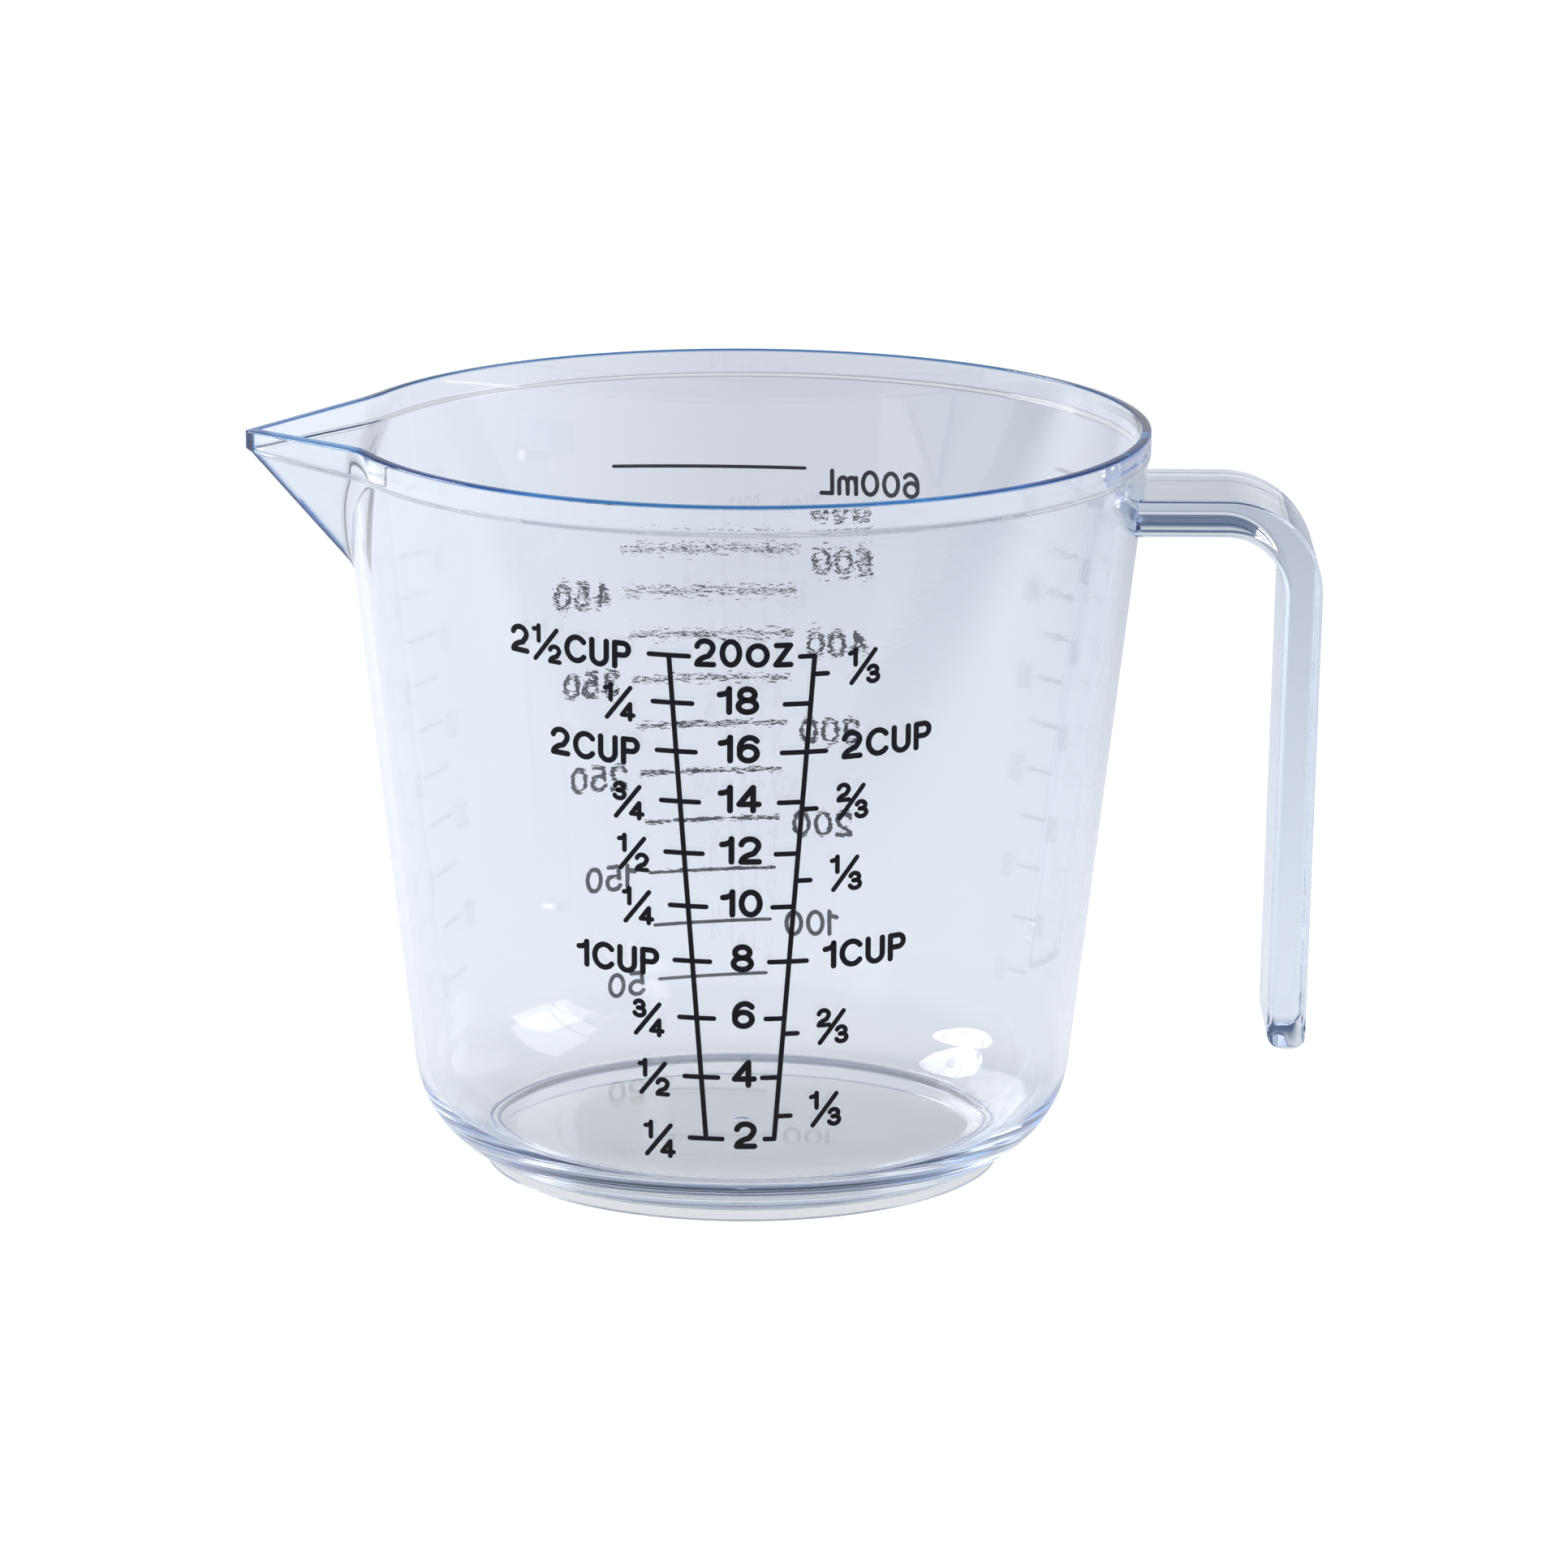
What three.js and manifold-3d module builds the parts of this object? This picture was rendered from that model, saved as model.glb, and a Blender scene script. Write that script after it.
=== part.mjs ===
// Clear plastic measuring cup with a pouring spout, an open strap handle and printed scales.
// Millimetres, +Z up. The handle points to +X, the spout to -X and the cup and ounce scale to -Y.
import * as THREE from 'three';
import { mergeVertices } from 'three/addons/utils/BufferGeometryUtils.js';
import Module from 'manifold-3d';

// Cup body
const BASE_RADIUS = 44.55; // outside of the wall, its line carried down to the table
const WALL_LEAN = 0.1162; // radius gained for each millimetre of height
const HEADROOM = 18.05; // rim above the highest mark
const WALL_THICKNESS = 1.5;
const FLOOR_THICKNESS = 1.5;
const FLOOR_RISE = 1.6; // underside of the floor above the top of the foot ring
const HEEL_RADIUS = 15.2; // outside round between the wall and the foot
const HEEL_FILL = 4.7; // how much tighter the inside round is than the outside one
const HEEL_LIFT = 0.8; // lowest point of the outside round above the table
const GATE_MARK_RADIUS = 1.2; // moulding mark under the middle of the floor
const GATE_MARK_DEPTH = 0.5;

// Rim band and foot ring
const RIM_BAND_HEIGHT = 3.9;
const RIM_BAND_STEP = 0.3; // how far the band stands proud of the wall
const FOOT_INSET = 8.15; // foot ring inside the wall line, both measured at the table
const FOOT_WIDTH = 1.4;

// Pouring spout, a V in plan whose keel slopes back to the wall
const SPOUT_PROJECTION = 13.4; // sharp corner of the V beyond the rim, before its tip is rounded
const SPOUT_HALF_WIDTH = 20.6; // where each side of the V leaves the rim
const SPOUT_TIP_RADIUS = 1.6;
const SPOUT_CREASE_RADIUS = 0.5; // inside of the V
const SPOUT_DROP = 20.8; // from the rim down to where the keel meets the wall
const SPOUT_DIP = 1.3; // how far the lip dips from the rim to the tip

// Strap handle, held at its top end only
const HANDLE_STANDOFF = 23.7; // outside of the leg beyond the rim
const HANDLE_WIDTH = 22.4;
const HANDLE_THICKNESS = 5.4;
const HANDLE_DROP = 8.3; // top of the arm below the rim
const HANDLE_BEND_RADIUS = 13.4; // outside of the bend
const HANDLE_LEAN = 1.1; // degrees by which the leg leans in towards the cup
const HANDLE_END_HEIGHT = 18.3; // lower end of the leg above the table
const HANDLE_END_RADIUS = 1.9;
const HANDLE_EDGE_RADIUS = 1.2;

// Printed scales
const INK_THICKNESS = 0.2;
const INK_GAP = 0.12; // ink clear of the wall
const INK_LINE = 0.5; // width of a printed line
const TICK_LENGTH = 2.8;
const THIRD_TICK_LENGTH = 2.3;
const NUMBER_COLUMN = 0.75; // half of the space between the ladders' ticks, at the table
const LADDER_LEAN = 0.074; // how much that half widens for each millimetre up the wall
const BAR_HALF_LENGTH = 7.2; // metric bars, at the table
const BAR_LEAN = 0.083;
const FRONT_PRINT_DROP = 1.2; // cup and ounce scale set a little under the true level
const METRIC_TURN = 5.9; // degrees by which the metric scale is turned towards the spout

// Scale marks in millilitres
const CUBIC_MM_PER_ML = 1000;
const ML_PER_OUNCE = 29.5735;
const OUNCES_PER_CUP = 8;
const OUNCE_STEP = 2;
const OUNCE_COUNT = 10;
const METRIC_LEVELS = [50, 100, 150, 200, 250, 300, 350, 400, 450, 500, 600];
const CUP_THIRDS = [1, 2, 4, 5, 7];

// Fit and fineness
const SEAM = 0.3; // clearance where the spout and the handle meet the curved wall
const OVERCUT = 2; // how far a cutting solid runs past what it cuts
const TURN_STEPS = 72;
const ARC_STEPS = 5;
const BEND_STEPS = 10;
const EDGE_STEPS = 2;
const BAR_STEPS = 8;
const FILL_STEPS = 400;
const BISECTIONS = 40;

// Levels and slopes that follow from those sizes
const SLANT = Math.atan(WALL_LEAN);
const WALL_ACROSS = WALL_THICKNESS / Math.cos(SLANT);
const wallRadius = (z) => BASE_RADIUS + WALL_LEAN * z;
const FOOT_RADIUS = wallRadius(0) - FOOT_INSET;
const FOOT_BORE = FOOT_RADIUS - FOOT_WIDTH;

// Centre of a round that touches both the tapered line and a level line
function roundCentre(lineRadius, levelZ, radius) {
  const z = levelZ + radius;
  return { r: lineRadius(z) - radius / Math.cos(SLANT), z };
}

const heel = roundCentre(wallRadius, HEEL_LIFT, HEEL_RADIUS);
const heelEnd = Math.acos((FOOT_RADIUS - heel.r) / HEEL_RADIUS);
const FOOT_TOP = heel.z - HEEL_RADIUS * Math.sin(heelEnd);
const UNDERSIDE_Z = FOOT_TOP + FLOOR_RISE;
const FLOOR_Z = UNDERSIDE_Z + FLOOR_THICKNESS;
const INNER_HEEL_RADIUS = HEEL_RADIUS - HEEL_FILL;
const innerLine = (z) => wallRadius(z) - WALL_ACROSS;
const innerHeel = roundCentre(innerLine, FLOOR_Z, INNER_HEEL_RADIUS);
const innerHeelTop = innerHeel.z - INNER_HEEL_RADIUS * Math.sin(SLANT);

// Inside of the cup: radius at a height, volume below it, and the height that a volume fills to
function innerRadius(z) {
  if (z >= innerHeelTop) return innerLine(z);
  return innerHeel.r + Math.sqrt(INNER_HEEL_RADIUS ** 2 - (innerHeel.z - z) ** 2);
}

function millilitresBelow(z) {
  const step = (z - FLOOR_Z) / FILL_STEPS;
  let sum = 0;
  for (let i = 0; i < FILL_STEPS; i += 1) sum += innerRadius(FLOOR_Z + (i + 0.5) * step) ** 2;
  return (Math.PI * sum * step) / CUBIC_MM_PER_ML;
}

function fillHeight(millilitres) {
  let low = FLOOR_Z;
  let high = FLOOR_Z + (millilitres * CUBIC_MM_PER_ML) / (Math.PI * innerHeel.r ** 2);
  for (let i = 0; i < BISECTIONS; i += 1) {
    const middle = (low + high) / 2;
    if (millilitresBelow(middle) < millilitres) low = middle;
    else high = middle;
  }
  return low;
}

// Height and rim that the highest mark asks for
const CUP_HEIGHT = fillHeight(Math.max(...METRIC_LEVELS)) + HEADROOM;
const BAND_Z = CUP_HEIGHT - RIM_BAND_HEIGHT;
const RIM_RADIUS = wallRadius(BAND_Z) + RIM_BAND_STEP; // outside of the rim band

const wasm = await Module();
wasm.setup();

// Closed geometry to a solid that can be joined and cut
function toSolid(geometry) {
  const bare = geometry.clone();
  bare.deleteAttribute('normal');
  bare.deleteAttribute('uv');
  const merged = mergeVertices(bare);
  const index = merged.index.array;
  const corners = [];
  for (let i = 0; i < index.length; i += 3) {
    const [a, b, c] = index.slice(i, i + 3);
    if (a !== b && b !== c && c !== a) corners.push(a, b, c);
  }
  const vertProperties = new Float32Array(merged.attributes.position.array);
  const triVerts = new Uint32Array(corners);
  return new wasm.Manifold(new wasm.Mesh({ numProp: 3, vertProperties, triVerts }));
}

function toGeometry(solid) {
  const mesh = solid.getMesh();
  const geometry = new THREE.BufferGeometry();
  geometry.setAttribute('position', new THREE.BufferAttribute(mesh.vertProperties, 3));
  geometry.setIndex(new THREE.BufferAttribute(mesh.triVerts, 1));
  geometry.computeVertexNormals();
  return geometry;
}

// Profile in radius and height, turned about the cup's axis
function turned(points) {
  const geometry = new THREE.LatheGeometry(points, TURN_STEPS);
  geometry.rotateX(Math.PI / 2);
  return geometry;
}

function turnedCone(lineRadius, fromZ, toZ) {
  const points = [
    new THREE.Vector2(0, fromZ),
    new THREE.Vector2(lineRadius(fromZ), fromZ),
    new THREE.Vector2(lineRadius(toZ), toZ),
    new THREE.Vector2(0, toZ),
  ];
  return turned(points);
}

// Everything inside the wall's outer face, swollen by a clearance
function outsideOfCup(clearance) {
  const grown = (z) => wallRadius(z) + clearance;
  return toSolid(turnedCone(grown, -OVERCUT, CUP_HEIGHT + OVERCUT));
}

// Spout plan
const spoutCorner = RIM_RADIUS + SPOUT_PROJECTION;
const junctionX = Math.sqrt(RIM_RADIUS ** 2 - SPOUT_HALF_WIDTH ** 2);
const spoutAngle = Math.atan2(SPOUT_HALF_WIDTH, spoutCorner - junctionX);
const tipSetback = (radius) => radius * (1 / Math.sin(spoutAngle) - 1);
const SPOUT_REACH = spoutCorner - tipSetback(SPOUT_TIP_RADIUS);

// V of the spout seen from above, drawn in by an inset, ending inside the cup
function spoutPlan(inset, tipRadius) {
  const sine = Math.sin(spoutAngle);
  const cosine = Math.cos(spoutAngle);
  const corner = spoutCorner - inset / sine;
  const centreX = -corner + tipRadius / sine;
  const rootReach = corner * sine;
  const plan = new THREE.Shape();
  plan.moveTo(-rootReach * sine, -rootReach * cosine);
  plan.lineTo(-rootReach * sine, rootReach * cosine);
  plan.lineTo(centreX - tipRadius * sine, tipRadius * cosine);
  plan.absarc(centreX, 0, tipRadius, Math.PI / 2 + spoutAngle, 1.5 * Math.PI - spoutAngle, false);
  plan.closePath();
  return plan;
}

function upright(plan, fromZ, toZ) {
  const options = { depth: toZ - fromZ, bevelEnabled: false, curveSegments: ARC_STEPS };
  const geometry = new THREE.ExtrudeGeometry(plan, options);
  geometry.translate(0, 0, fromZ);
  return geometry;
}

const keelRun = SPOUT_REACH - RIM_BAND_STEP - wallRadius(CUP_HEIGHT - SPOUT_DROP);
const keelSlope = keelRun / (SPOUT_DROP - RIM_BAND_HEIGHT);

// Below the band the plan slides back towards the wall along the keel
function keeled(plan, fromZ, toZ) {
  const slide = new THREE.Matrix4().set(
    1, 0, -keelSlope, keelSlope * BAND_Z,
    0, 1, 0, 0,
    0, 0, 1, 0,
    0, 0, 0, 1,
  );
  return upright(plan, fromZ, toZ).applyMatrix4(slide);
}

const KEEL_FOOT_Z = CUP_HEIGHT - SPOUT_DROP - OVERCUT;
const CHANNEL_INSET = RIM_BAND_STEP + WALL_THICKNESS;
const channelPlan = spoutPlan(CHANNEL_INSET, SPOUT_CREASE_RADIUS);
const spoutChannel = toSolid(keeled(channelPlan, KEEL_FOOT_Z, BAND_Z + OVERCUT));

// Cup shell: wall, heel and floor in one turned profile, opened for the spout
function cupShell() {
  const profile = new THREE.Path();
  profile.moveTo(0, UNDERSIDE_Z + GATE_MARK_DEPTH);
  profile.lineTo(GATE_MARK_RADIUS, UNDERSIDE_Z);
  profile.lineTo(FOOT_BORE, UNDERSIDE_Z);
  profile.lineTo(FOOT_BORE, FOOT_TOP);
  profile.lineTo(FOOT_RADIUS, FOOT_TOP);
  profile.absarc(heel.r, heel.z, HEEL_RADIUS, -heelEnd, -SLANT, false);
  profile.lineTo(wallRadius(BAND_Z), BAND_Z);
  profile.lineTo(innerLine(BAND_Z), BAND_Z);
  profile.absarc(innerHeel.r, innerHeel.z, INNER_HEEL_RADIUS, -SLANT, -Math.PI / 2, true);
  profile.lineTo(0, FLOOR_Z);
  return toGeometry(toSolid(turned(profile.getPoints(ARC_STEPS))).subtract(spoutChannel));
}

// Wedge of air over the spout's dipping lip
function airOverLip() {
  const side = new THREE.Shape();
  side.moveTo(-junctionX, CUP_HEIGHT);
  side.lineTo(-spoutCorner, CUP_HEIGHT - SPOUT_DIP);
  side.lineTo(-spoutCorner, CUP_HEIGHT + OVERCUT);
  side.lineTo(-junctionX, CUP_HEIGHT + OVERCUT);
  side.closePath();
  const wedge = new THREE.ExtrudeGeometry(side, { depth: 2 * RIM_RADIUS, bevelEnabled: false });
  wedge.translate(0, 0, -RIM_RADIUS);
  wedge.rotateX(Math.PI / 2);
  return toSolid(wedge);
}

// Rim band: round the mouth and out along both sides of the spout
function rimBand() {
  const disc = toSolid(turnedCone(() => RIM_RADIUS, BAND_Z, CUP_HEIGHT));
  const beak = toSolid(upright(spoutPlan(0, SPOUT_TIP_RADIUS), BAND_Z, CUP_HEIGHT));
  const mouth = toSolid(turnedCone(innerLine, BAND_Z - OVERCUT, CUP_HEIGHT + OVERCUT));
  const lip = toSolid(upright(channelPlan, BAND_Z - OVERCUT, CUP_HEIGHT + OVERCUT));
  return toGeometry(disc.add(beak).subtract(mouth).subtract(lip).subtract(airOverLip()));
}

// Spout: two flat sides that meet in the keel
function pouringSpout() {
  const plan = spoutPlan(RIM_BAND_STEP, SPOUT_TIP_RADIUS);
  const beak = toSolid(keeled(plan, KEEL_FOOT_Z, BAND_Z));
  return toGeometry(beak.subtract(spoutChannel).subtract(outsideOfCup(SEAM)));
}

// Foot ring under the heel
function footRing() {
  const points = [
    new THREE.Vector2(FOOT_BORE, 0),
    new THREE.Vector2(FOOT_RADIUS, 0),
    new THREE.Vector2(FOOT_RADIUS, FOOT_TOP),
    new THREE.Vector2(FOOT_BORE, FOOT_TOP),
    new THREE.Vector2(FOOT_BORE, 0),
  ];
  return turned(points);
}

// Handle: side view of the strap, extruded across its width with rounded edges
const HANDLE_REACH = RIM_RADIUS + HANDLE_STANDOFF;

function strapHandle() {
  const lean = THREE.MathUtils.degToRad(HANDLE_LEAN);
  const armTop = CUP_HEIGHT - HANDLE_DROP;
  const bend = new THREE.Vector2(HANDLE_REACH - HANDLE_BEND_RADIUS, armTop - HANDLE_BEND_RADIUS);
  const innerBend = HANDLE_BEND_RADIUS - HANDLE_THICKNESS;
  const outward = new THREE.Vector2(Math.cos(lean), -Math.sin(lean));
  const down = new THREE.Vector2(-Math.sin(lean), -Math.cos(lean));
  const legLength = (bend.y - HANDLE_END_HEIGHT) / Math.cos(lean);
  const onLeg = (across, along) =>
    bend.clone().addScaledVector(outward, across).addScaledVector(down, along);
  const outerCorner = onLeg(HANDLE_BEND_RADIUS - HANDLE_END_RADIUS, legLength - HANDLE_END_RADIUS);
  const innerCorner = onLeg(innerBend + HANDLE_END_RADIUS, legLength - HANDLE_END_RADIUS);
  const quarter = Math.PI / 2;
  const side = new THREE.Shape();
  side.moveTo(0, armTop);
  side.absarc(bend.x, bend.y, HANDLE_BEND_RADIUS, quarter, -lean, true);
  side.absarc(outerCorner.x, outerCorner.y, HANDLE_END_RADIUS, -lean, -quarter - lean, true);
  side.absarc(innerCorner.x, innerCorner.y, HANDLE_END_RADIUS, -quarter - lean, -2 * quarter - lean, true);
  side.absarc(bend.x, bend.y, innerBend, -lean, quarter, false);
  side.lineTo(0, armTop - HANDLE_THICKNESS);
  side.closePath();
  const strap = new THREE.ExtrudeGeometry(side, {
    depth: HANDLE_WIDTH - 2 * HANDLE_EDGE_RADIUS,
    curveSegments: BEND_STEPS,
    bevelThickness: HANDLE_EDGE_RADIUS,
    bevelSize: HANDLE_EDGE_RADIUS,
    bevelOffset: -HANDLE_EDGE_RADIUS,
    bevelSegments: EDGE_STEPS,
  });
  strap.translate(0, 0, HANDLE_EDGE_RADIUS - HANDLE_WIDTH / 2);
  strap.rotateX(quarter);
  return toGeometry(toSolid(strap).subtract(outsideOfCup(SEAM)));
}

// The print is flat artwork rolled onto the tapered wall: x to the right and y up the slant from the table
const tableSlant = wallRadius(0) / Math.sin(SLANT);
const apexDepth = tableSlant * Math.cos(SLANT);
const upTheSlant = (z) => z / Math.cos(SLANT);

function rollOntoWall(geometry, facing) {
  const places = geometry.attributes.position;
  for (let i = 0; i < places.count; i += 1) {
    const x = places.getX(i);
    const y = places.getY(i) + tableSlant;
    const lift = places.getZ(i) + INK_GAP;
    const slant = Math.hypot(x, y);
    const turn = facing + Math.atan2(x, y) / Math.sin(SLANT);
    const radius = slant * Math.sin(SLANT) + lift * Math.cos(SLANT);
    const height = slant * Math.cos(SLANT) - apexDepth - lift * Math.sin(SLANT);
    places.setXYZ(i, radius * Math.cos(turn), radius * Math.sin(turn), height);
  }
  geometry.computeVertexNormals();
  return geometry;
}

const FRONT = -Math.PI / 2;
const BACK = Math.PI / 2 + THREE.MathUtils.degToRad(METRIC_TURN);
const frontHeight = (millilitres) => upTheSlant(fillHeight(millilitres) - FRONT_PRINT_DROP);
const ladderX = (y) => NUMBER_COLUMN + TICK_LENGTH + LADDER_LEAN * y;

// One ladder: a leaning line with ticks to its left and right, as one outline
function ladder(side, ticks) {
  const half = INK_LINE / 2;
  const edge = (y, across) => new THREE.Vector2(side * ladderX(y) + across, y);
  const rising = ticks.toSorted((a, b) => a.y - b.y);
  const flank = (direction, reach) => rising.flatMap((tick) => {
    const out = direction * Math.max(tick[reach], half);
    const root = direction * half;
    return [
      edge(tick.y - half, root),
      edge(tick.y - half, out),
      edge(tick.y + half, out),
      edge(tick.y + half, root),
    ];
  });
  const outline = new THREE.Shape([...flank(1, 'right'), ...flank(-1, 'left').reverse()]);
  const ink = new THREE.ExtrudeGeometry(outline, { depth: INK_THICKNESS, bevelEnabled: false });
  return rollOntoWall(ink, FRONT);
}

const ounceMarks = Array.from({ length: OUNCE_COUNT }, (_, i) => (i + 1) * OUNCE_STEP);
const thirdMarks = CUP_THIRDS.map((third) => (third * OUNCES_PER_CUP * ML_PER_OUNCE) / 3);

function quarterCupLadder() {
  const ticks = ounceMarks.map((ounces) => (
    { y: frontHeight(ounces * ML_PER_OUNCE), left: TICK_LENGTH, right: TICK_LENGTH }
  ));
  return ladder(-1, ticks);
}

function ounceLadder() {
  const even = ounceMarks.map((ounces) => {
    const wholeCups = ounces % OUNCES_PER_CUP === 0;
    return { y: frontHeight(ounces * ML_PER_OUNCE), left: TICK_LENGTH, right: wholeCups ? TICK_LENGTH : 0 };
  });
  const thirds = thirdMarks.map((mark) => ({ y: frontHeight(mark), left: 0, right: THIRD_TICK_LENGTH }));
  return ladder(1, [...even, ...thirds]);
}

function metricBar(millilitres) {
  const y = upTheSlant(fillHeight(millilitres));
  const length = 2 * (BAR_HALF_LENGTH + BAR_LEAN * y);
  const ink = new THREE.BoxGeometry(length, INK_LINE, INK_THICKNESS, BAR_STEPS, 1, 1);
  ink.translate(0, y, INK_THICKNESS / 2);
  return rollOntoWall(ink, BACK);
}

// Finishes
const clearPlastic = () => new THREE.MeshStandardMaterial({
  color: 0xdbe4f2,
  roughness: 0.06,
  metalness: 0,
  transparent: true,
  opacity: 0.35,
});
const blackInk = () => new THREE.MeshStandardMaterial({ color: 0x101114, roughness: 0.5, metalness: 0 });
const navyInk = () => new THREE.MeshStandardMaterial({ color: 0x20273d, roughness: 0.5, metalness: 0 });

function piece(name, geometry, material) {
  const mesh = new THREE.Mesh(geometry, material);
  mesh.name = name;
  return mesh;
}

// Assembly, set so that the part stands in the middle of its own footprint
const cup = new THREE.Group();
cup.position.x = (SPOUT_REACH - HANDLE_REACH) / 2;
cup.add(
  piece('cup_shell', cupShell(), clearPlastic()),
  piece('rim_band', rimBand(), clearPlastic()),
  piece('pouring_spout', pouringSpout(), clearPlastic()),
  piece('foot_ring', footRing(), clearPlastic()),
  piece('handle', strapHandle(), clearPlastic()),
  piece('quarter_cup_ladder', quarterCupLadder(), blackInk()),
  piece('ounce_ladder', ounceLadder(), blackInk()),
);
for (const level of METRIC_LEVELS) {
  cup.add(piece(`metric_bar_${level}`, metricBar(level), navyInk()));
}

const measuringCup = new THREE.Group();
measuringCup.add(cup);

export default measuringCup;
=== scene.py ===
"""Looks of a clear plastic measuring cup with printed scales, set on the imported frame.

Shapes are worked out in millimetres about the cup's own axis and put into the meshes in metres.
The handle points to +X, the spout to -X and the cup and ounce scale to -Y.
"""
import logging
from dataclasses import dataclass, field
from enum import Enum
from typing import Callable

import bpy
import numpy as np
from mathutils import Matrix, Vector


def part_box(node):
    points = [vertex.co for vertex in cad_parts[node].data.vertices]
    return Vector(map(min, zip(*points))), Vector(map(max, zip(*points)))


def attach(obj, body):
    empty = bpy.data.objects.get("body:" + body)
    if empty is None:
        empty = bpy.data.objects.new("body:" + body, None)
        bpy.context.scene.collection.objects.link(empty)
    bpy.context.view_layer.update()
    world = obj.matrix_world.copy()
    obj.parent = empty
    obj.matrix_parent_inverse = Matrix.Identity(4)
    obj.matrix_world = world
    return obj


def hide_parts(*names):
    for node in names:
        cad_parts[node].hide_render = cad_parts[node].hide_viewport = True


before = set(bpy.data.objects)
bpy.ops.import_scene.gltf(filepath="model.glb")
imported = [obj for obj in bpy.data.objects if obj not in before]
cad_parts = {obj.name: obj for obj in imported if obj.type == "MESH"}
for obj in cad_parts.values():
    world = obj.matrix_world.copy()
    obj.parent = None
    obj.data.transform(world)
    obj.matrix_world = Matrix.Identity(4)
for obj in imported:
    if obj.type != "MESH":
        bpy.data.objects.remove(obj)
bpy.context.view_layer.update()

logging.basicConfig(level=logging.INFO, format="%(message)s")
LOG = logging.getLogger("measuring_cup")

MM = 0.001
BODY = "root"
LIGHT_BOUNCES = 200
# Attribute that masks the painted blue edge shade of the clear plastic.
PAINTED_EDGE_MASK = "edge"
ARC_POINTS = 28
NOISE_SPAN = (0.3, 0.7)
Array = np.ndarray
Line = Callable[[Array], Array]
Triple = tuple[float, float, float]
Colour = Triple
Strokes = list[tuple[Array, float]]
InkPieces = dict[str, tuple[bpy.types.Object, tuple[str, ...]]]
Tree = bpy.types.NodeTree
Socket = bpy.types.NodeSocket


class Slot(Enum):
    """Material slots of the record that the pieces take their finish from."""

    CLEAR = "clear_plastic"
    BLACK = "black_ink"
    NAVY = "navy_ink"


class Facing(Enum):
    """Side of the cup that a scale is printed on, as the angle of its middle from +X in degrees."""

    FRONT = -90.0
    BACK = 95.9


class LampShape(Enum):
    """Outline of a soft lamp."""

    WINDOW = "RECTANGLE"
    ROUND = "ELLIPSE"


class Align(Enum):
    """Edge or middle of a label that stands at its given place, as a share of its width."""

    LEFT = 0.0
    MIDDLE = 0.5
    RIGHT = 1.0


def cup_axis_x() -> float:
    """Return the row-frame x of the cup's axis in metres: the middle of the foot ring."""
    low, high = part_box("foot_ring")
    return (low[0] + high[0]) / 2


def smooth_step(t: Array) -> Array:
    """Return 3t² - 2t³, which leaves 0 and reaches 1 level."""
    return t * t * (3 - 2 * t)


def smooth_max(a: Array, b: Array, blend: float) -> Array:
    """Return the larger of two surfaces with the corner between them filled.

    Formula: max(a, b) + h²·blend/4, with h = max(blend - |a - b|, 0)/blend.

    Args:
        a: Radii of the first surface.
        b: Radii of the second surface.
        blend: Distance over which the two run into each other.

    Returns:
        The blended radii.
    """
    h = np.maximum(blend - np.abs(a - b), 0) / blend
    return np.maximum(a, b) + h * h * blend / 4


def rounded_corner(before: Array, corner: Array, after: Array, radius: float, count: int = 5) -> Array:
    """Return points of the arc that rounds the corner between two straight lines.

    Formula: the centre lies on the bisector, radius/sin(half the opening) from the corner, and the arc
    runs between the feet of its perpendiculars on both lines.

    Args:
        before: A point on the line that comes in.
        corner: The sharp corner.
        after: A point on the line that leaves.
        radius: Radius of the round.
        count: Number of points.

    Returns:
        Points of shape (count, 2).
    """
    u = (before - corner) / np.linalg.norm(before - corner)
    v = (after - corner) / np.linalg.norm(after - corner)
    half = np.arccos(np.clip(u @ v, -1, 1)) / 2
    bisector = (u + v) / np.linalg.norm(u + v)
    centre = corner + bisector * radius / np.sin(half)
    first = corner + u * radius / np.tan(half) - centre
    last = corner + v * radius / np.tan(half) - centre
    turn = np.pi - 2 * half
    t = np.linspace(0, 1, count)[:, None]
    return centre + (np.sin((1 - t) * turn) * first + np.sin(t * turn) * last) / np.sin(turn)


def rows_at(radius: Array | float, height: Array | float) -> Array:
    """Return rows of radius and height, either of which may be one number for all rows."""
    return np.stack(np.broadcast_arrays(radius, height), axis=-1).astype(float)


def round_rows(centre: tuple[float, float], radius: float, turn: Array) -> Array:
    """Return rows along a round: its centre plus its radius times cosine and sine of the angle."""
    return rows_at(centre[0] + radius * np.cos(turn), centre[1] + radius * np.sin(turn))


def grid_faces(rows: int, columns: int, closed: bool) -> Array:
    """Return the quads of a grid of points, row by row.

    Args:
        rows: Number of rows.
        columns: Number of columns.
        closed: True if the last column joins the first.

    Returns:
        Corner numbers of shape (faces, 4).
    """
    index = np.arange(rows * columns).reshape(rows, columns)
    beside = np.roll(index, -1, axis=1)
    last = columns if closed else columns - 1
    corners = [index[:-1, :last], beside[:-1, :last], beside[1:, :last], index[1:, :last]]
    return np.stack(corners, axis=-1).reshape(-1, 4)


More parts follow.
